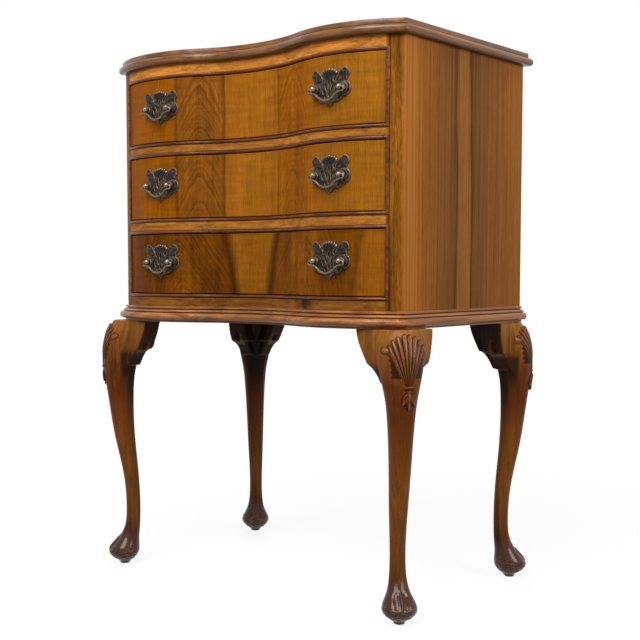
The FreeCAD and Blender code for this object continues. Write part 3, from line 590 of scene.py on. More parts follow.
def painted_lines(material, axis, places, change, width):
    """Thin painted lines on a surface: a change below 1 is painted shade in a crease or quirk, above 1 a
    painted highlight along an edge.
    """
    tree, shader = opened(material)
    split = axes(tree)
    run = calc(tree, "ABSOLUTE", (split, axis))
    for spot in places:
        off = calc(tree, "SUBTRACT", run, spot)
        off = calc(tree, "ABSOLUTE", off)
        stroke = span(tree, off, 0.4 * width, width, change, 1)
        retone(tree, shader, stroke)


def rail_walnut(name):
    """Walnut along the rails: browner in the bottom rail, which has one dark knot, and painted paler in the
    top one as painted light where the top board shades it.
    """
    material = plain_walnut(name, "#c07c33", "#94591c", "X", pore=0.7)
    tree, shader = opened(material)
    place, split = place_on(tree), axes(tree)
    ruffle = add(tree, "TexNoise", {"Vector": place, "Scale": 130, "Detail": 4})
    moved = add(tree, "Mapping", {"Vector": place, "Location": (-0.104, 0, -0.3965)})
    flat = add(tree, "VectorMath", {0: moved, 1: (1, 0, 1.7)}, operation="MULTIPLY")
    far = add(tree, "VectorMath", {0: flat}, operation="LENGTH")
    far = calc(tree, "MULTIPLY_ADD", ruffle, 0.022, (far, "Value"))
    factor = span(tree, far, 0.017, 0.03, 0.16, 1)
    # The bottom rail is made browner; the top rail is painted paler, painted light where the top board shades
    # it.
    for levels in ((0.405, 0.42, 0.49, 1), (0.7, 0.708, 1, 1.32)):
        level = span(tree, (split, "Z"), *levels)
        factor = calc(tree, "MULTIPLY", factor, level)
    retone(tree, shader, factor)
    return material


def stile_walnut(name):
    """Walnut of the corner posts: open-pored and browner towards the floor, veneered gold on the side."""
    material = plain_walnut(name, "#9f6317", "#6b3c0c", "Z", pore=1.7)
    tree, shader = opened(material)
    split = axes(tree)
    low = span(tree, (split, "Z"), 0.4, 0.6, 0.8, 1)
    front = retone(tree, shader, low)
    lines = grain(tree, 3.2, 420)
    gold = ramp(tree, lines, [(0.35, "#b06f2e"), (0.7, "#8e5722")])
    turned = span(tree, (split, "Y"), FRONT_LINE - 0.003, FRONT_LINE + 0.003)
    colour = blend(tree, turned, front, gold)
    plug(tree, shader, "Base Color", colour)
    return material


def leg_beech(name):
    """Polished leg wood under a red brown stain, scuffed at the foot; painted shade and stain in grooves,
    painted highlight and wear on crests, painted shade on the unfinished inner faces.
    """
    material, tree, shader = begin(name, Specular_IOR_Level=0.03, Coat_Roughness=0.14)
    split = axes(tree)
    streaks = grain(tree, 6, 130)
    fibres = grain(tree, 1.6, 40)
    flecks = grain(tree, 1.3, 6, detail=2)
    clouds = grain(tree, 26, 60, detail=3)
    rise = calc(tree, "MULTIPLY_ADD", streaks, 0.06, (split, "Z"))
    rise = span(tree, rise, 0.03, 0.396)
    stain = [
        (0.0, "#3c1c0c"), (0.12, "#42200c"), (0.2, "#663912"), (0.3, "#774518"), (0.5, "#7c4612"),
        (0.7, "#622d05"), (0.8, "#683206"), (1.0, "#925c22"),
    ]
    colour = ramp(tree, rise, stain)
    # Scuffs round the foot are 2 to 6 mm long and lie across it.
    scuff = grain(tree, 7, 2.4, detail=4)
    bare = ramp(tree, scuff, [(0.5, 0.0), (0.62, 0.75)])
    lowest = span(tree, (split, "Z"), 0.018, 0.034, 1, 0)
    bare = calc(tree, "MULTIPLY", bare, lowest)
    colour = blend(tree, bare, colour, tone("#85532c"))
    groove = add(tree, "Attribute", attribute_name="groove")
    raw_and_shaded = add(tree, "Attribute", attribute_name="raw_and_shaded")
    crest = add(tree, "Attribute", attribute_name="crest")
    # Carved crests are painted paler: a painted highlight, with wear.
    worn_and_highlit = calc(tree, "MULTIPLY", (crest, "Fac"), 0.5)
    # Grooves are painted dark: painted shade in the carving's hollows, with stain collected there.
    groove_shade_and_stain = calc(tree, "MULTIPLY", (groove, "Fac"), 1.3, use_clamp=True)
    deep = blend(tree, groove_shade_and_stain, colour, tone("#240c05"))
    deep = blend(tree, worn_and_highlit, deep, tone("#aa5f28"))
    # Worn crests and the feet keep the most gloss.
    low = span(tree, (split, "Z"), 0.04, 0.058, 0.5, 0)
    gloss = calc(tree, "MAXIMUM", worn_and_highlit, low)
    gloss = span(tree, gloss, 0, 1, 0.1, 0.9)
    plug(tree, shader, "Coat Weight", gloss)
    # Inner faces are painted near black: unfinished wood in painted shade.
    unfinished_in_shade = blend(tree, (raw_and_shaded, "Fac"), deep, tone("#24150a"))
    factor = shade(
        tree,
        (streaks, 0.74, 1.2),
        (fibres, 0.86, 1.12),
        (clouds, 0.84, 1.14),
        (flecks, 1.06, 0.84),
    )
    polish(tree, shader, unfinished_in_shade, factor, flecks, PORE_RELIEF)
    dull = span(tree, (raw_and_shaded, "Fac"), 0, 1, 0.34, 0.85)
    worn = calc(tree, "MULTIPLY_ADD", bare, 0.3, dull)
    plug(tree, shader, "Roughness", worn)
    return material


def old_brass(name):
    """Cast brass under a dark oxide skin: brown black flats, black recesses, raised edges worn to metal."""
    material, tree, shader = begin(name, Specular_IOR_Level=0.2)
    place = place_on(tree)
    blotch = add(tree, "TexNoise", {"Vector": place, "Scale": 260, "Detail": 4})
    edges = add(tree, "NewGeometry")
    worn = calc(tree, "MULTIPLY_ADD", blotch, 0.06, (edges, "Pointiness"))
    oxide = [(0.46, "#040302"), (0.53, "#191310"), (0.61, "#9c8871")]
    wear = ramp(tree, worn, oxide)
    plug(tree, shader, "Base Color", wear)
    bare = span(tree, worn, 0.54, 0.62, 0.05, 0.9)
    plug(tree, shader, "Metallic", bare)
    rough = span(tree, blotch, 0, 1, 0.2, 0.46)
    plug(tree, shader, "Roughness", rough)
    bump = add(tree, "Bump", {"Height": blotch, "Strength": 0.15, "Distance": 0.0003})
    plug(tree, shader, "Normal", bump)
    return material


PALE_LEFT = [
    (0, "#a46415"), (43, "#a06113"), (46, "#703e0c"), (51, "#8d5413"), (78, "#894f12"), (111, "#864f0e"),
    (114, "#693907"), (120, "#965301"), (180, "#965301"), (226, "#8c4901"),
]
PALE_RIGHT = [
    (0, "#a46415"), (46, "#9e5f13"), (49, "#864c05"), (55, "#9e5d06"), (90, "#965304"), (122, "#9a5704"),
    (131, "#955a12"), (180, "#9a5f12"), (232, "#9a5f12"),
]
FLAME_LEFT = [
    (0, "#93580e"), (24, "#8f580e"), (32, "#653a09"), (37, "#482104"), (46, "#6d3a04"), (110, "#7a4406"),
    (178, "#683704"), (186, "#643404"), (194, "#723901"), (226, "#6a3401"),
]
FLAME_RIGHT = [
    (0, "#93580e"), (26, "#8f580e"), (33, "#683b08"), (39, "#4d2402"), (48, "#7b4303"), (110, "#884d03"),
    (188, "#754003"), (197, "#6b3d08"), (204, "#8f530a"), (232, "#93570c"),
]
upper_veneer = drawer_veneer("crown_walnut_veneer", PALE_LEFT, PALE_RIGHT, 81, 36, 0, 600, 0.16)
lower_veneer = drawer_veneer("flame_walnut_veneer", FLAME_LEFT, FLAME_RIGHT, 110, 80, 0.18, 448, 0.36)
panel_veneer = side_veneer("quartered_walnut_veneer")
rail_wood = rail_walnut("walnut_rails")
stile_wood = stile_walnut("walnut_stiles")
trim_wood = plain_walnut(
    "stained_walnut_trim", "#b0733c", "#7e4824", "round", pore=0.6, Roughness=0.32, Specular_IOR_Level=0.1,
    Coat_Weight=0.22, Coat_Roughness=0.12
)
bead_wood = plain_walnut(
    "red_walnut_beads", "#7c421a", "#4a240c", "X", Roughness=0.26, Specular_IOR_Level=0.1, Coat_Weight=0.3,
    Coat_Roughness=0.1
)
top_wood = plain_walnut(
    "stained_walnut_top", "#8b5b30", "#593518", "round", pore=0.6, Roughness=0.3, Specular_IOR_Level=0.15,
    Coat_Weight=0.3, Coat_Roughness=0.12
)
leg_wood = leg_beech("stained_beech_legs")
lining_oak, side_oak = (
    plain_walnut(name, "#c09a66", "#a07a4a", axis, Roughness=0.6, Coat_Weight=0.0)
    for name, axis in (("oak_drawer_lining", "X"), ("oak_drawer_sides", "Y"))
)
carcase_wood = plain_walnut("sawn_carcase_timber", "#8a6a46", "#644a2e", "X", Roughness=0.75, Coat_Weight=0.0)
brass = old_brass("patinated_brass")
steel = plain_walnut("dull_screw_steel", "#6a665f", "#4a4742", "Z", Metallic=1.0, Coat_Weight=0.0)

# Painted shade beside the beads and in the quirks, and a painted highlight along the drawer fronts' top edges

bead_edges = sorted(corner.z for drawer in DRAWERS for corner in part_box(f"cock_bead_{drawer}"))
painted_lines(rail_wood, "Z", bead_edges[:-1], 0.35, 0.0013)
painted_lines(stile_wood, "X", [HALF_OPENING + BEAD], 0.5, 0.0011)
painted_lines(trim_wood, "Z", BASE_QUIRKS, 0.25, 0.0011)
painted_lines(top_wood, "Z", [TOP_QUIRK], 0.3, 0.0012)
# The drawer fronts' top edges get a painted highlight.
front_edges = [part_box(f"drawer_front_{drawer}")[1].z - 0.0005 for drawer in DRAWERS]
painted_lines(upper_veneer, "Z", front_edges, 1.7, 0.0011)
painted_lines(lower_veneer, "Z", front_edges[-1:], 1.7, 0.0011)

# CAD nodes that keep their shape

FINISHES = {
    "walnut_top": top_wood, "walnut_sides": panel_veneer, "walnut_frame": rail_wood,
    "walnut_veneer": upper_veneer, "walnut_trim": trim_wood, "walnut_legs": leg_wood,
    "drawer_lining": lining_oak, "carcase_timber": carcase_wood, "aged_brass": brass, "screw_steel": steel,
}
for part in frame["record"]["subparts"]:
    solid = nodes[part["node"]]
    solid.data.materials.clear()
    is_side = part["node"].startswith("drawer_side")
    solid.data.materials.append(side_oak if is_side else FINISHES[part["material_slot"]])

# Drawer fronts, set back from the front line

FRONT_FACE, FRONT_INSIDE = -0.001, -0.02
for drawer in DRAWERS:
    node = f"drawer_front_{drawer}"
    low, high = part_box(node)
    section = [(FRONT_FACE, low.z), (FRONT_FACE, high.z), (FRONT_INSIDE, high.z), (FRONT_INSIDE, low.z)]
    board = front_run(f"veneered_front_{drawer}", section, [((high.x, 0, 0), (1, 0, 0))])
    apply(board, "BEVEL", width=0.0011, segments=3, limit_method="ANGLE", angle_limit=math.radians(50))
    tidy(board)
    veneer = lower_veneer if drawer == "bottom" else upper_veneer
    dress(board, f"drawer_{drawer}", [node], veneer)

# Beads round the drawers

BEAD_OUT = 0.0019
for drawer in DRAWERS:
    node = f"cock_bead_{drawer}"
    low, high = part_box(node)
    strips = []
    for bottom, tilt in ((low.z, 1), (high.z - BEAD, -1)):
        section = [(0, bottom + BEAD), (0, bottom, BEAD_OUT)]
        corner = (HALF_OPENING, 0, bottom + BEAD if tilt > 0 else bottom)
        strips.append(front_run("bead_strip", section, [(corner, (1, 0, tilt))]))
    inner, outer = front_at(HALF_OPENING), front_at(HALF_OPENING + BEAD)
    upright = point("bead_upright", (HALF_OPENING, inner, low.z))
    bend_to(upright, (HALF_OPENING + BEAD, outer, low.z), BEAD_OUT)
    raise_outline((0, 0, high.z - low.z))
    slice_off((HALF_OPENING, 0, low.z + BEAD), (-1, 0, -1))
    slice_off((HALF_OPENING, 0, high.z - BEAD), (-1, 0, 1))
    leave()
    tidy(upright)
    other = twin(upright, "bead_upright_left", FLIP)
    bead = tidy(join(strips + [upright, other], f"mitred_bead_{drawer}"))
    dress(bead, "case", [node], bead_wood)

# Stiles with a softened outer corner

for side, way in (("right", 1), ("left", -1)):
    node = f"front_stile_{side}"
    stile = copy_of(node, f"soft_stile_{side}")
    enter(stile)
    bpy.ops.mesh.tris_convert_to_quads()
    pick(
        stile,
        "EDGE",
        lambda middle, run: abs(run.z) > 0.1
        and abs(middle.x - way * HALF_CASE) < 1e-4
        and middle.y < FRONT_LINE + 1e-4,
    )
    bpy.ops.mesh.bevel(offset=0.004, segments=6, affect="EDGES")
    leave()
    tidy(stile, 30)
    dress(stile, "case", [node], stile_wood)

# Base moulding: fillet, quirk, cove, quirk and nose, mitred at the front corners

LEG_TOP, CASE_BOTTOM = (corner.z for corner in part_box("base_moulding_right"))
BASE_IN, BASE_OUT = 0.056, 0.011
PAST_MITRE = 0.06
BASE = [
    (-BASE_IN, LEG_TOP), (-BASE_IN, CASE_BOTTOM), (0.0022, CASE_BOTTOM), (0.0028, 0.3875), (0.0028, 0.3855),
    (0.0022, 0.3849), (0.0008, 0.3848), (0.0008, 0.3838), (0.0045, 0.3834), (0.0068, 0.3812, -0.0007),
    (0.0068, 0.3806), (0.005, 0.3802), (0.005, 0.3794), (0.008, 0.379), (0.008, 0.3694, 0.003),
    (0.003, 0.3688), (0.003, LEG_TOP),
]
inner_corner = Vector((HALF_CASE - BASE_IN, front_at(HALF_CASE - BASE_IN, -BASE_IN), 0))
outer_corner = Vector((HALF_CASE + BASE_OUT, front_at(HALF_CASE + BASE_OUT, BASE_OUT), 0))
mitre = outer_corner - inner_corner
past = Vector((-mitre.y, mitre.x, 0))
front_base = front_run("moulded_base_front", BASE, [(inner_corner, past)])
dress(front_base, "case", ["base_moulding_front"], trim_wood)
side_base = section_at_middle("moulded_base_right", BASE)
turned = Matrix.Translation((HALF_CASE, BACK_LINE, 0)) @ Matrix.Rotation(math.radians(90), 4, "Z")
leave()
side_base.data.transform(turned @ Matrix.Translation((0, -HOLLOW_MIDDLE, 0)))
enter(side_base)
raise_outline((0, FRONT_LINE - BACK_LINE - PAST_MITRE, 0))
slice_off(inner_corner, -past)
leave()
tidy(side_base)
left_base = twin(side_base, "moulded_base_left", FLIP)
dress(side_base, "case", ["base_moulding_right"], trim_wood)
dress(left_base, "case", ["base_moulding_left"], trim_wood)

# Top board: rounded nose, quirk and thin step

TOP_BOTTOM, TOP = (corner.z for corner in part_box("top_board"))
NOSE_TOP = 0.736
TOP_OUT = 0.0085
NEAR_RIM = 0.002
corner_x = HALF_CASE + TOP_OUT
top_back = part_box("top_board")[1].y


def on_nose(middle, run):
    """Level edges round the underside, and those of the outer rim just below the step."""
    rim_off = min(corner_x - abs(middle.x), top_back - middle.y)
    front_rim = front_at(min(abs(middle.x), corner_x), TOP_OUT)
    outside = rim_off <= NEAR_RIM or middle.y < front_rim + NEAR_RIM
    below = abs(middle.z - TOP_BOTTOM) < 1e-5
    return abs(run.z) < 1e-6 and (below or (abs(middle.z - NOSE_TOP) < 1e-5 and outside))


top = point("moulded_top", (0, HOLLOW_MIDDLE - TOP_OUT, TOP_BOTTOM))
spin_front(math.asin((corner_x - BOW_X) / (BOW_RADIUS + TOP_OUT)))
draw_to(top, (corner_x, top_back, TOP_BOTTOM), (0, top_back, TOP_BOTTOM))
leave()
apply(top, "MIRROR", use_clip=True, merge_threshold=MERGE)
enter(top)
bpy.ops.mesh.remove_doubles(threshold=MERGE)
raise_outline((0, 0, NOSE_TOP - TOP_BOTTOM))
bpy.ops.mesh.inset(thickness=0.005)
bpy.ops.mesh.extrude_region_move(TRANSFORM_OT_translate={"value": (0, 0, TOP - NOSE_TOP)})
pick(top, "EDGE", on_nose)
bpy.ops.mesh.bevel(offset=0.0047, segments=6, affect="EDGES")
pick(top, "EDGE", lambda middle, run: abs(middle.z - TOP) < 1e-5 and abs(run.z) < 1e-6)
bpy.ops.mesh.bevel(offset=0.0016, segments=3, affect="EDGES")
leave()
tidy(top)
dress(top, "case", ["top_board"], top_wood)


# Legs: pad foot, cabriole line, shell-carved knee, ears beside it


def ease(value, start, end):
    """A smooth step from 0 at start to 1 at end."""
    share = np.clip((value - start) / (end - start), 0, 1)
    return share * share * (3 - 2 * share)


def fade(value, start, end):
    """A smooth step down from 1 at start to 0 at end."""
    return ease(-value, -end, -start)


def band(value, middle, width):
    """A soft line: 1 at its middle, fading over its width."""
    return np.exp(-(((value - middle) / width) ** 2))


def dome(far, radius, rise):
    """A round swelling of so much rise."""
    return rise * np.sqrt(np.clip(1 - (far / radius) ** 2, 0, 1))


# Carving on the knee, in millimetres above the floor and across from the shell's middle

SHELL_ASIDE = 4.5
SHELL_FOOT = 300
SHELL_TIP = 361
RIBS = 8
GROUND_DEPTH = 0.9
VOLUTE = (25.5, 341.5, 4.4)
COLLAR = 297.2
HUSK_TOP = 291
HUSK_LEAVES = ((-0.42, 17, 4.0), (0.42, 17, 4.0), (0.0, 21.5, 3.6))


def shell_and_wings(across, height, grit):
    """Eight ribs that fan out upwards, on a sunk ground, between two hatched and ragged wings."""
    aside = np.abs(across)
    half = 4.6 + 0.43 * (height - SHELL_FOOT)
    fan = across / np.maximum(half, 1)
    phase = (np.clip(fan, -0.999, 0.999) + 1) / 2 * RIBS
    ridge = np.sqrt(np.clip(1 - (2 * (phase - np.floor(phase)) - 1) ** 2, 0, 1))
    rib = (np.floor(phase) + 0.5) / RIBS * 2 - 1
    tip = SHELL_TIP - 17 * np.abs(rib) ** 1.8 - 3.2 * (1 - ridge)
    shell = ease(tip - height, 0, 1.6) * ease(height, SHELL_FOOT - 2, SHELL_FOOT)
    shell = shell * ease(1 - np.abs(fan), 0, 0.05)
    flare = np.clip((height - SHELL_FOOT) / 50, 0, 1)
    ground = -GROUND_DEPTH * fade(aside, 30, 36) * ease(height, 298, 312) * fade(height, 356, 364)
    relief = ground + shell * (-0.6 + (1.9 + 1.9 * flare) * ridge)
    # The groove share is painted shade in the hollows between ribs, in the sunk wings and along the shell's
    # outline, with stain collected there.
    groove = shell * (1 - ridge) ** (0.45 + 0.35 * flare)
    edge = 19.5 + 0.12 * (height - 308) + 0.9 * np.sin(0.9 * height) + 0.5 * np.sin(2.3 * height + 1)
    wing = ease(aside, half + 0.2, half + 1.2) * fade(aside, edge - 0.5, edge + 0.5)
    wing = wing * ease(height, 307.5, 308.5) * fade(height, 336, 338)
    hatch = 0.5 + 0.5 * np.sin(2.1 * height + 1.3 * aside + 0.8 * grit)
    relief = relief - wing * (1.9 - 0.8 * hatch)
    groove = np.maximum(np.maximum(groove, 0.48 * shell), wing * (0.92 - 0.4 * hatch + 0.1 * grit))
    # Crests get a painted highlight, with wear, strongest towards the shell's top.
    crest = shell * ridge**10 * (0.3 + 0.7 * flare)
    rim = band(aside - edge, 0.9, 0.9) * ease(height, 306, 309) * fade(height, 338, 341)
    outline = band(height - tip, -0.2, 1.0) * (np.abs(fan) < 1)
    return relief + 0.7 * rim, np.maximum(groove, 0.75 * outline), crest


def husk(across, height, relief, groove, crest):
    """A collar below the shell and three leaves that hang from it."""
    relief = np.maximum(relief, np.where(np.abs(across) < 6.2, dome(height - COLLAR, 2.2, 2.3), 0))
    # Dark lines by the collar and round the leaves are painted shade in the carving's hollows; the leaves'
    # middles get a painted highlight.
    for level, half in ((294.6, 6), (299.8, 5)):
        groove = np.maximum(groove, 0.8 * band(height, level, 0.7) * (np.abs(across) < half))
    relief = np.maximum(relief, dome(np.hypot(across, height - 291.6), 3.4, 2.8))
    for lean, length, width in HUSK_LEAVES:
        down = (HUSK_TOP - height) * math.cos(lean) + across * math.sin(lean)
        aside = across * math.cos(lean) - (HUSK_TOP - height) * math.sin(lean)
        share = np.clip(down / length, 0, 1)
        wide = width * np.sin(math.pi * np.clip(share, 0.02, 0.995) ** 0.75) + 0.3
        on = (down > 0) & (down < length)
        relief = np.where(on, np.maximum(relief, dome(aside, wide, 3.4)), relief)
        crest = np.maximum(crest, on * band(aside, 0, 0.9))
        rind = band(np.abs(aside) - wide, 0.3, 0.7) * ((down > 0) & (down < length + 1))
        groove = np.maximum(groove, 0.7 * rind)
    return relief, groove, crest


def knee_carving(across, height, grit):
    """Relief of the carving in millimetres; its grooves get painted shade and stain, its crests a painted
    highlight and wear.
    """
    across = across - SHELL_ASIDE
    relief, groove, crest = shell_and_wings(across, height, grit)
    volute_x, volute_z, radius = VOLUTE
    for way in (-1, 1):
        far = np.hypot(across - way * volute_x, height - volute_z)
        relief = np.where(far < radius, np.maximum(relief, dome(far, radius, 3.2) - GROUND_DEPTH), relief)
        # A dark ring of painted shade round each volute, and a painted highlight with wear on its boss.
        groove = np.maximum(groove, 0.6 * band(far, 4.8, 0.7))
        crest = np.maximum(crest, band(far, 0, 2.6))
    relief, groove, crest = husk(across, height, relief, groove, crest)
    crease = 1.1 * band(across, 0, 1.3) * ease(height, 358, 361)
    return np.maximum(relief, crease - GROUND_DEPTH), groove, crest * (groove < 0.5)


def foot_carving(across, out, height):
    """Relief of the pad foot: a ridge down the toe between two hollows, over a worn and wrinkled rim."""
    toe = ease(height, 20, 24) * fade(height, 40, 50) * ease(out, 4, 10)
    ridge = 1.5 * band(across, 0, 1.1) - 1.5 * band(np.abs(across), 6.5, 3.6)
    sides = ease(height, 6, 9) * fade(height, 18, 24)
    folds = 0.32 * np.sin(1.9 * height + 1.8 * np.sin(0.42 * across) + 1.5 * np.sin(0.5 * out + 1))
    return toe * ridge + sides * (0.5 + folds)


foot_x, foot_y = FEET["front_right"][:2]
whole = copy_of("leg_front_right", "leg_blank")
ears = copy_of("knee_brackets_front_right", "ear_blank")
TAIL = [
    (0.018, 0.299), (0.0235, 0.299), (0.0295, 0.3095), (0.035, 0.3165), (0.0425, 0.3225), (0.0425, 0.326),
    (0.018, 0.326),
]
TAIL_FRONT, TAIL_DEPTH = 0.0105, 0.024
tail_spots = [(foot_x - inwards, foot_y - TAIL_FRONT, z) for inwards, z in TAIL]
tail = point("ear_tail", tail_spots[0])
draw_to(tail, *tail_spots[1:])
raise_outline((0, TAIL_DEPTH, 0))
leave()
tidy(tail)
# Mirrors a piece over the leg's diagonal.
over = Matrix(((0, -1, 0, foot_x + foot_y), (-1, 0, 0, foot_x + foot_y), (0, 0, 1, 0), (0, 0, 0, 1)))
whole = join([whole, ears, tail, twin(tail, "side_tail", over)], "leg_blank")
apply(whole, "REMESH", mode="VOXEL", voxel_size=0.0011)
apply(whole, "SMOOTH", factor=0.5, iterations=3)


DIAGONAL = math.sqrt(0.5)


def leg_places(piece):
    """Outward, across and height of a leg's vertices from the foot's middle in millimetres; their normals."""
    spots, normals = points_of(piece)
    east, north = (spots[:, 0] - foot_x) * 1000, (spots[:, 1] - foot_y) * 1000
    return (east - north) * DIAGONAL, (east + north) * DIAGONAL, spots[:, 2] * 1000, spots, normals


group = whole.vertex_groups.new(name="ear_blend")
out, across, height, spots, normals = leg_places(whole)
soft = ease(height, 292, 306) * fade(height, 358, 364)
soft = soft * ease(np.abs(across), 12, 19) * fade(np.abs(across), 27, 36)
for index in np.nonzero(soft > 0.02)[0]:
    group.add([int(index)], float(soft[index]), "REPLACE")
apply(whole, "SMOOTH", factor=0.5, iterations=24, vertex_group="ear_blend")
# The knee's carved side gets a finer mesh.
KNEE_LOW, KNEE_HIGH = 0.264, 0.3645
KNEE_ASIDE, KNEE_BACK = 0.046, -0.012
enter(whole)
pick(
    whole,
    "FACE",
    lambda middle, normal: KNEE_LOW < middle.z < KNEE_HIGH
    and abs(middle.x - foot_x + middle.y - foot_y) < KNEE_ASIDE
    and (middle.x - foot_x) - (middle.y - foot_y) > KNEE_BACK
    and normal.x - normal.y > 0.1,
)
bpy.ops.mesh.subdivide(number_cuts=2)
leave()
out, across, height, spots, normals = leg_places(whole)
grit = np.random.default_rng(7).uniform(-1, 1, len(across))
relief, groove, crest = knee_carving(across, height, grit)
facing = ease(out, -12, -8) * ease((normals[:, 0] - normals[:, 1]) * DIAGONAL, 0.05, 0.3)
relief = relief * facing + foot_carving(across, out, height)
moved = spots + normals * (relief * 0.001)[:, None]
# The ears flare towards their tops; the carving stays inside the leg's own box.
moved[:, 0] -= 0.003 * ease(foot_x - spots[:, 0], 0.03, 0.054) * ease(height, 322, 360)
moved[:, 1] += 0.0025 * ease(spots[:, 1] - foot_y, 0.028, 0.046) * ease(height, 305, 330)
leg_low, leg_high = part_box("leg_front_right")
moved[:, 0] = np.minimum(moved[:, 0], leg_high.x)
moved[:, 1] = np.maximum(moved[:, 1], leg_low.y)
moved[:, 2] = np.maximum(moved[:, 2], leg_low.z)
whole.data.vertices.foreach_set("co", moved.ravel())
# The ears' inner faces are painted near black: unfinished wood in painted shade.
inward = (normals[:, 1] - normals[:, 0]) * DIAGONAL
raw_and_shaded = ease(inward, 0.45, 0.75) * ease(height, 215, 285) * fade(out, -10, -4)
# Below the ears the legs' inner sides were never polished; like the ears' inner faces, they are painted near
# black, unfinished wood in painted shade.
sideways = np.abs(normals[:, 0] + normals[:, 1]) * DIAGONAL
unpolished_in_shade = ease(sideways, 0.3, 0.5) * fade(out, -1, 5) * ease(height, 268, 292) * fade(height, 314, 324)
raw_and_shaded = np.maximum(raw_and_shaded, 0.85 * unpolished_in_shade)
for name, values in (("groove", groove * facing), ("crest", crest * facing), ("raw_and_shaded", raw_and_shaded)):
    layer = whole.data.attributes.new(name, "FLOAT", "POINT")
    layer.data.foreach_set("value", np.clip(values, 0, 1).astype(np.float32))
apply(whole, "DECIMATE", ratio=0.5)

# The ears are cut off the leg as pieces of their own.
EAR_CUT = 0.027
EAR_BOTTOM = 0.3
ear_cuts = (
    (Vector((foot_x - EAR_CUT, 0, 0)), Vector((1, 0, 0))),
    (Vector((0, foot_y + EAR_CUT, 0)), Vector((0, -1, 0))),
)
ear_parts = []
for number, (place, normal) in enumerate(ear_cuts):
    ear = twin(whole, f"ear_{number}")
    enter(ear)
    slice_off(place, normal)
    slice_off((0, 0, EAR_BOTTOM), (0, 0, -1))
    leave()
    ear_parts.append(ear)
ears = join(ear_parts, "ears_front_right")
enter(whole)
for place, normal in ear_cuts:
    slice_off(place, -normal)
leave()
for piece in (whole, ears):
    smooth(piece, 55)
for corner, (x, y, way_x, way_y) in reversed(FEET.items()):
    move = Matrix.Translation((x, y, 0)) @ Matrix.Diagonal((way_x, way_y, 1, 1))
    move = move @ Matrix.Translation((-foot_x, -foot_y, 0))
    leg = whole if corner == "front_right" else twin(whole, "leg", move)
    pair = ears if corner == "front_right" else twin(ears, "ears", move)
    leg.name, pair.name = f"carved_leg_{corner}", f"knee_ears_{corner}"
    dress(leg, "case", [f"leg_{corner}"], leg_wood)
    dress(pair, "case", [f"knee_brackets_{corner}"], leg_wood)

# Handles: pierced plates, posts and bails

level = HANDLE_Z["top"]
plate = copy_of("handle_backplates_top", "cast_plate_right")
enter(plate)
drop_left(plate)
leave()
reaches = [math.hypot(vert.co.x - BOW_X, vert.co.y - BOW_Y) - BOW_RADIUS for vert in plate.data.vertices]
seat, face = min(reaches), max(reaches)
# The horns broaden inwards to a beak that overhangs the gap beside the crest, in millimetres.
BEAK = [(10.6, 8.6), (19.4, 17), (20.4, 22.2), (17.2, 21.6), (13.6, 17.0), (9.4, 11.6)]
fills = [plate]
for way in (-1, 1):
    spots = [(HANDLE_X + way * aside / 1000, up / 1000 + level) for aside, up in BEAK]
    spots = [(x, front_at(x, seat), z) for x, z in spots]
    fill = point("horn_fill", spots[0])
    draw_to(fill, *spots[1:])
    raise_outline((0, seat - face, 0))
    leave()
    fills.append(tidy(fill))
plate = join(fills, "cast_plate_right")
apply(plate, "REMESH", mode="VOXEL", voxel_size=0.00045)
apply(plate, "SMOOTH", factor=0.5, iterations=4)
# Beads along the crest, a boss round each post and shallow recesses, in millimetres from the middle
CREST_BEADS = ((0, 23.2), (4.2, 22.4), (8.2, 21.2), (11.2, 19.0))
RECESSES = ((22, 21.4, 1.7, 1.5), (14, 8.8, 2.6, 1.2), (25.5, 8.8, 2.2, 1.2))
spots, normals = points_of(plate)
aside, up = np.abs((spots[:, 0] - HANDLE_X) * 1000), (spots[:, 2] - level) * 1000
relief = np.zeros(len(spots))
for far, high in CREST_BEADS:
    relief = relief + dome(np.hypot(aside - far, up - high), 1.9, 0.7)
relief = relief + dome(np.hypot(aside - POST_REACH * 1000, up), 8.0, 0.9)
for far, high, long, wide in RECESSES:
    spread = ((aside - far) / long) ** 2 + ((up - high) / wide) ** 2
    relief = relief - 0.9 * np.exp(-spread)
spots = spots + normals * (relief * ease(-normals[:, 1], 0.3, 0.7) * 0.001)[:, None]
plate.data.vertices.foreach_set("co", spots.ravel())
apply(plate, "DECIMATE", ratio=0.35)
smooth(plate, 50)

# Posts turned from a profile of (radius, distance behind the bail's axis)
POST_PROFILE = [
    (0, -0.0038), (0.0015, -0.0035), (0.0027, -0.0027), (0.0035, -0.0015), (0.0038, 0), (0.0034, 0.0016),
    (0.0028, 0.0026), (0.0025, 0.0031), (0.0028, 0.0036), (0.0043, 0.004), (0.0047, 0.0048), (0.0046, 0.0056),
    (0.0046, 0.0072),
]
posts = []
for way in (-1, 1):
    spot = Vector((HANDLE_X + way * POST_REACH, PIVOT_Y, level))
    post = point("turned_post", spot + Vector((0, POST_PROFILE[0][1], 0)))
    draw_to(post, *(spot + Vector((radius, run, 0)) for radius, run in POST_PROFILE[1:]))
    bpy.ops.mesh.select_all(action="SELECT")
    bpy.ops.mesh.spin(steps=28, angle=2 * math.pi, center=spot, axis=(0, 1, 0))
    leave()
    posts.append(tidy(post, 40))
shanks = copy_of("handle_posts_top", "shank_ends")
enter(shanks)
slice_off((0, INSIDE_FRONT, 0), (0, -1, 0))
drop_left(shanks)
leave()
posts = join(posts + [tidy(shanks, 40)], "turned_posts_right")

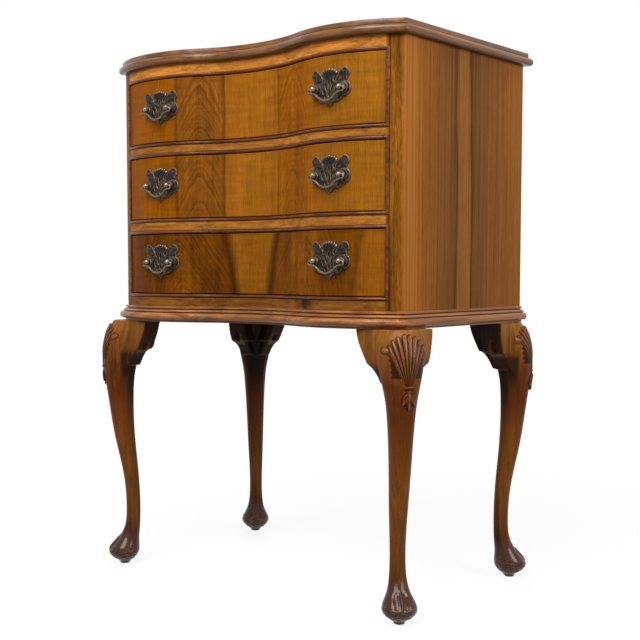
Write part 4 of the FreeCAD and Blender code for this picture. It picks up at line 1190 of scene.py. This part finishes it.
# Bail: a bow of wire, a neck bent the other way and a curl that ends in a pin; thinner past the bow
CURL = 0.0026
BOW = 0.018
POST_HEAD, SIDE_GAP = 0.0038, 0.0004
WIRE_RADIUS = 0.0017
THIN = 0.8
EIGHTH_TURN = math.radians(45)
curl_x = POST_REACH + POST_HEAD + SIDE_GAP
neck = curl_x / DIAGONAL - BOW
drop = 2 * CURL + (BOW + neck) * (1 - DIAGONAL)
half_wire = []
for step in range(1, 15):
    angle = EIGHTH_TURN * step / 14
    half_wire.append((BOW * math.sin(angle), BOW * (1 - math.cos(angle)) - drop, 1.0 - 0.2 * step / 14))
for step in range(11, -1, -1):
    angle = EIGHTH_TURN * step / 12
    half_wire.append((curl_x - neck * math.sin(angle), neck * (math.cos(angle) - 1) - 2 * CURL, THIN))
for step in range(1, 13):
    angle = math.pi * step / 12
    half_wire.append((curl_x + CURL * math.sin(angle), -CURL * (1 + math.cos(angle)), THIN))
half_wire += [(curl_x - 0.0012, 0, THIN), (curl_x - 0.0074, 0, THIN)]
wire = [(-x, z, swell) for x, z, swell in reversed(half_wire)] + [(0, -drop, 1.0)] + half_wire
line = bpy.data.curves.new("bail_line", "CURVE")
line.dimensions = "3D"
line.bevel_depth = WIRE_RADIUS
line.bevel_resolution = 5
line.use_fill_caps = True
strand = line.splines.new("POLY")
strand.points.add(len(wire) - 1)
for spot, (x, z, swell) in zip(strand.points, wire):
    spot.co = (HANDLE_X + x, PIVOT_Y, level + z, 1)
    spot.radius = swell
drawn = bpy.data.objects.new("bail_line", line)
bail_mesh = bpy.data.meshes.new_from_object(drawn)
bpy.data.objects.remove(drawn)
bail = bpy.data.objects.new("swan_neck_bail", bail_mesh)
bpy.context.scene.collection.objects.link(bail)
tidy(bail, 60)

for drawer in DRAWERS:
    lift = Matrix.Translation((0, 0, HANDLE_Z[drawer] - level))
    for shape, kind, node in ((plate, "plates", "backplates"), (posts, "posts", "posts")):
        both = [twin(shape, "right", lift), twin(shape, "left", FLIP @ lift)]
        pair = join(both, f"handle_{kind}_set_{drawer}")
        dress(pair, f"drawer_{drawer}", [f"handle_{node}_{drawer}"], brass)
    for side, move in (("right", lift), ("left", FLIP @ lift)):
        hung = twin(bail, f"swan_neck_bail_{drawer}_{side}", move)
        dress(hung, f"bail_{drawer}_{side}", [f"bail_{drawer}_{side}"], brass)
for pattern in (plate, posts, bail):
    bpy.data.objects.remove(pattern)

# Floor, light and camera


def background_rays(tree):
    """1 for the rays that see the white background: from the camera, and by reflection or through glass."""
    path = add(tree, "LightPath")
    seen = calc(tree, "MAXIMUM", (path, "Is Camera Ray"), (path, "Is Glossy Ray"))
    return calc(tree, "MAXIMUM", seen, (path, "Is Transmission Ray"))


bpy.ops.object.select_all(action="DESELECT")
bpy.ops.mesh.primitive_circle_add(vertices=96, radius=9, fill_type="NGON", location=(0, 0, 0))
floor = bpy.context.object
floor.name = "studio_floor"
paper, tree, shader = begin("white_paper_floor", Roughness=0.9)
place = place_on(tree)
far = add(tree, "VectorMath", {0: place}, operation="LENGTH")
spread = span(tree, (far, "Value"), 0.35, 1.1, 0.86, 1)
seen = background_rays(tree)
pale = blend(tree, seen, tone("#6a6a6a"), tone("#f6f6f6"))
plug(tree, shader, "Base Color", pale)
seen = calc(tree, "MULTIPLY", seen, spread)
white = add(tree, "Emission", {"Color": (1, 1, 1, 1), "Strength": 1})
mix = add(tree, "MixShader", {0: seen, 1: shader, 2: white})
plug(tree, tree.nodes["Material Output"], "Surface", mix)
floor.data.materials.append(paper)

world = bpy.data.worlds.new("studio")
world.use_nodes = True
bpy.context.scene.world = world
tree = world.node_tree
strength = span(tree, background_rays(tree), 0, 1, 0.18, 1)
sky = tree.nodes["Background"]
sky.inputs["Color"].default_value = (1, 1, 1, 1)
plug(tree, sky, "Strength", strength)


def soft_light(name, place, aim, power, size):
    """A square lamp of so many watts and metres that faces a point."""
    lamp = bpy.data.lights.new(name, "AREA")
    lamp.energy = power
    lamp.size = size
    holder = bpy.data.objects.new(name, lamp)
    holder.location = place
    holder.rotation_euler = (Vector(aim) - Vector(place)).to_track_quat("-Z", "Y").to_euler()
    bpy.context.scene.collection.objects.link(holder)
    return holder


soft_light("window_light", (0.3, -1.9, 2.3), (0, 0, 0.45), 84, 1.7)
soft_light("side_fill", (2.5, 0.0, 1.7), (0, 0, 0.4), 45, 1.3)
soft_light("back_fill", (-1.9, 2.2, 1.7), (0, 0, 0.4), 55, 1.5).visible_glossy = False

# The photograph's frame, focal length and optical centre in pixels, and where its camera stood
FRAME = 640
FOCAL = 1182.3
CENTRE_X, CENTRE_Y = 301.6, 357.4
STAND = (1.0583, -1.3496, 0.4382)
TILT_DOWN, TURNED = math.radians(4.19), math.radians(38.76)
SENSOR = 36
lens = bpy.data.cameras.new("photo_camera")
lens.sensor_width = SENSOR
lens.lens = FOCAL * SENSOR / FRAME
lens.shift_x = (FRAME / 2 - CENTRE_X) / FRAME
lens.shift_y = (CENTRE_Y - FRAME / 2) / FRAME
camera = bpy.data.objects.new("photo_camera", lens)
camera.location = STAND
camera.rotation_euler = (math.pi / 2 - TILT_DOWN, 0, TURNED)
bpy.context.scene.collection.objects.link(camera)
bpy.context.scene.camera = camera
bpy.context.scene.view_settings.view_transform = "Standard"
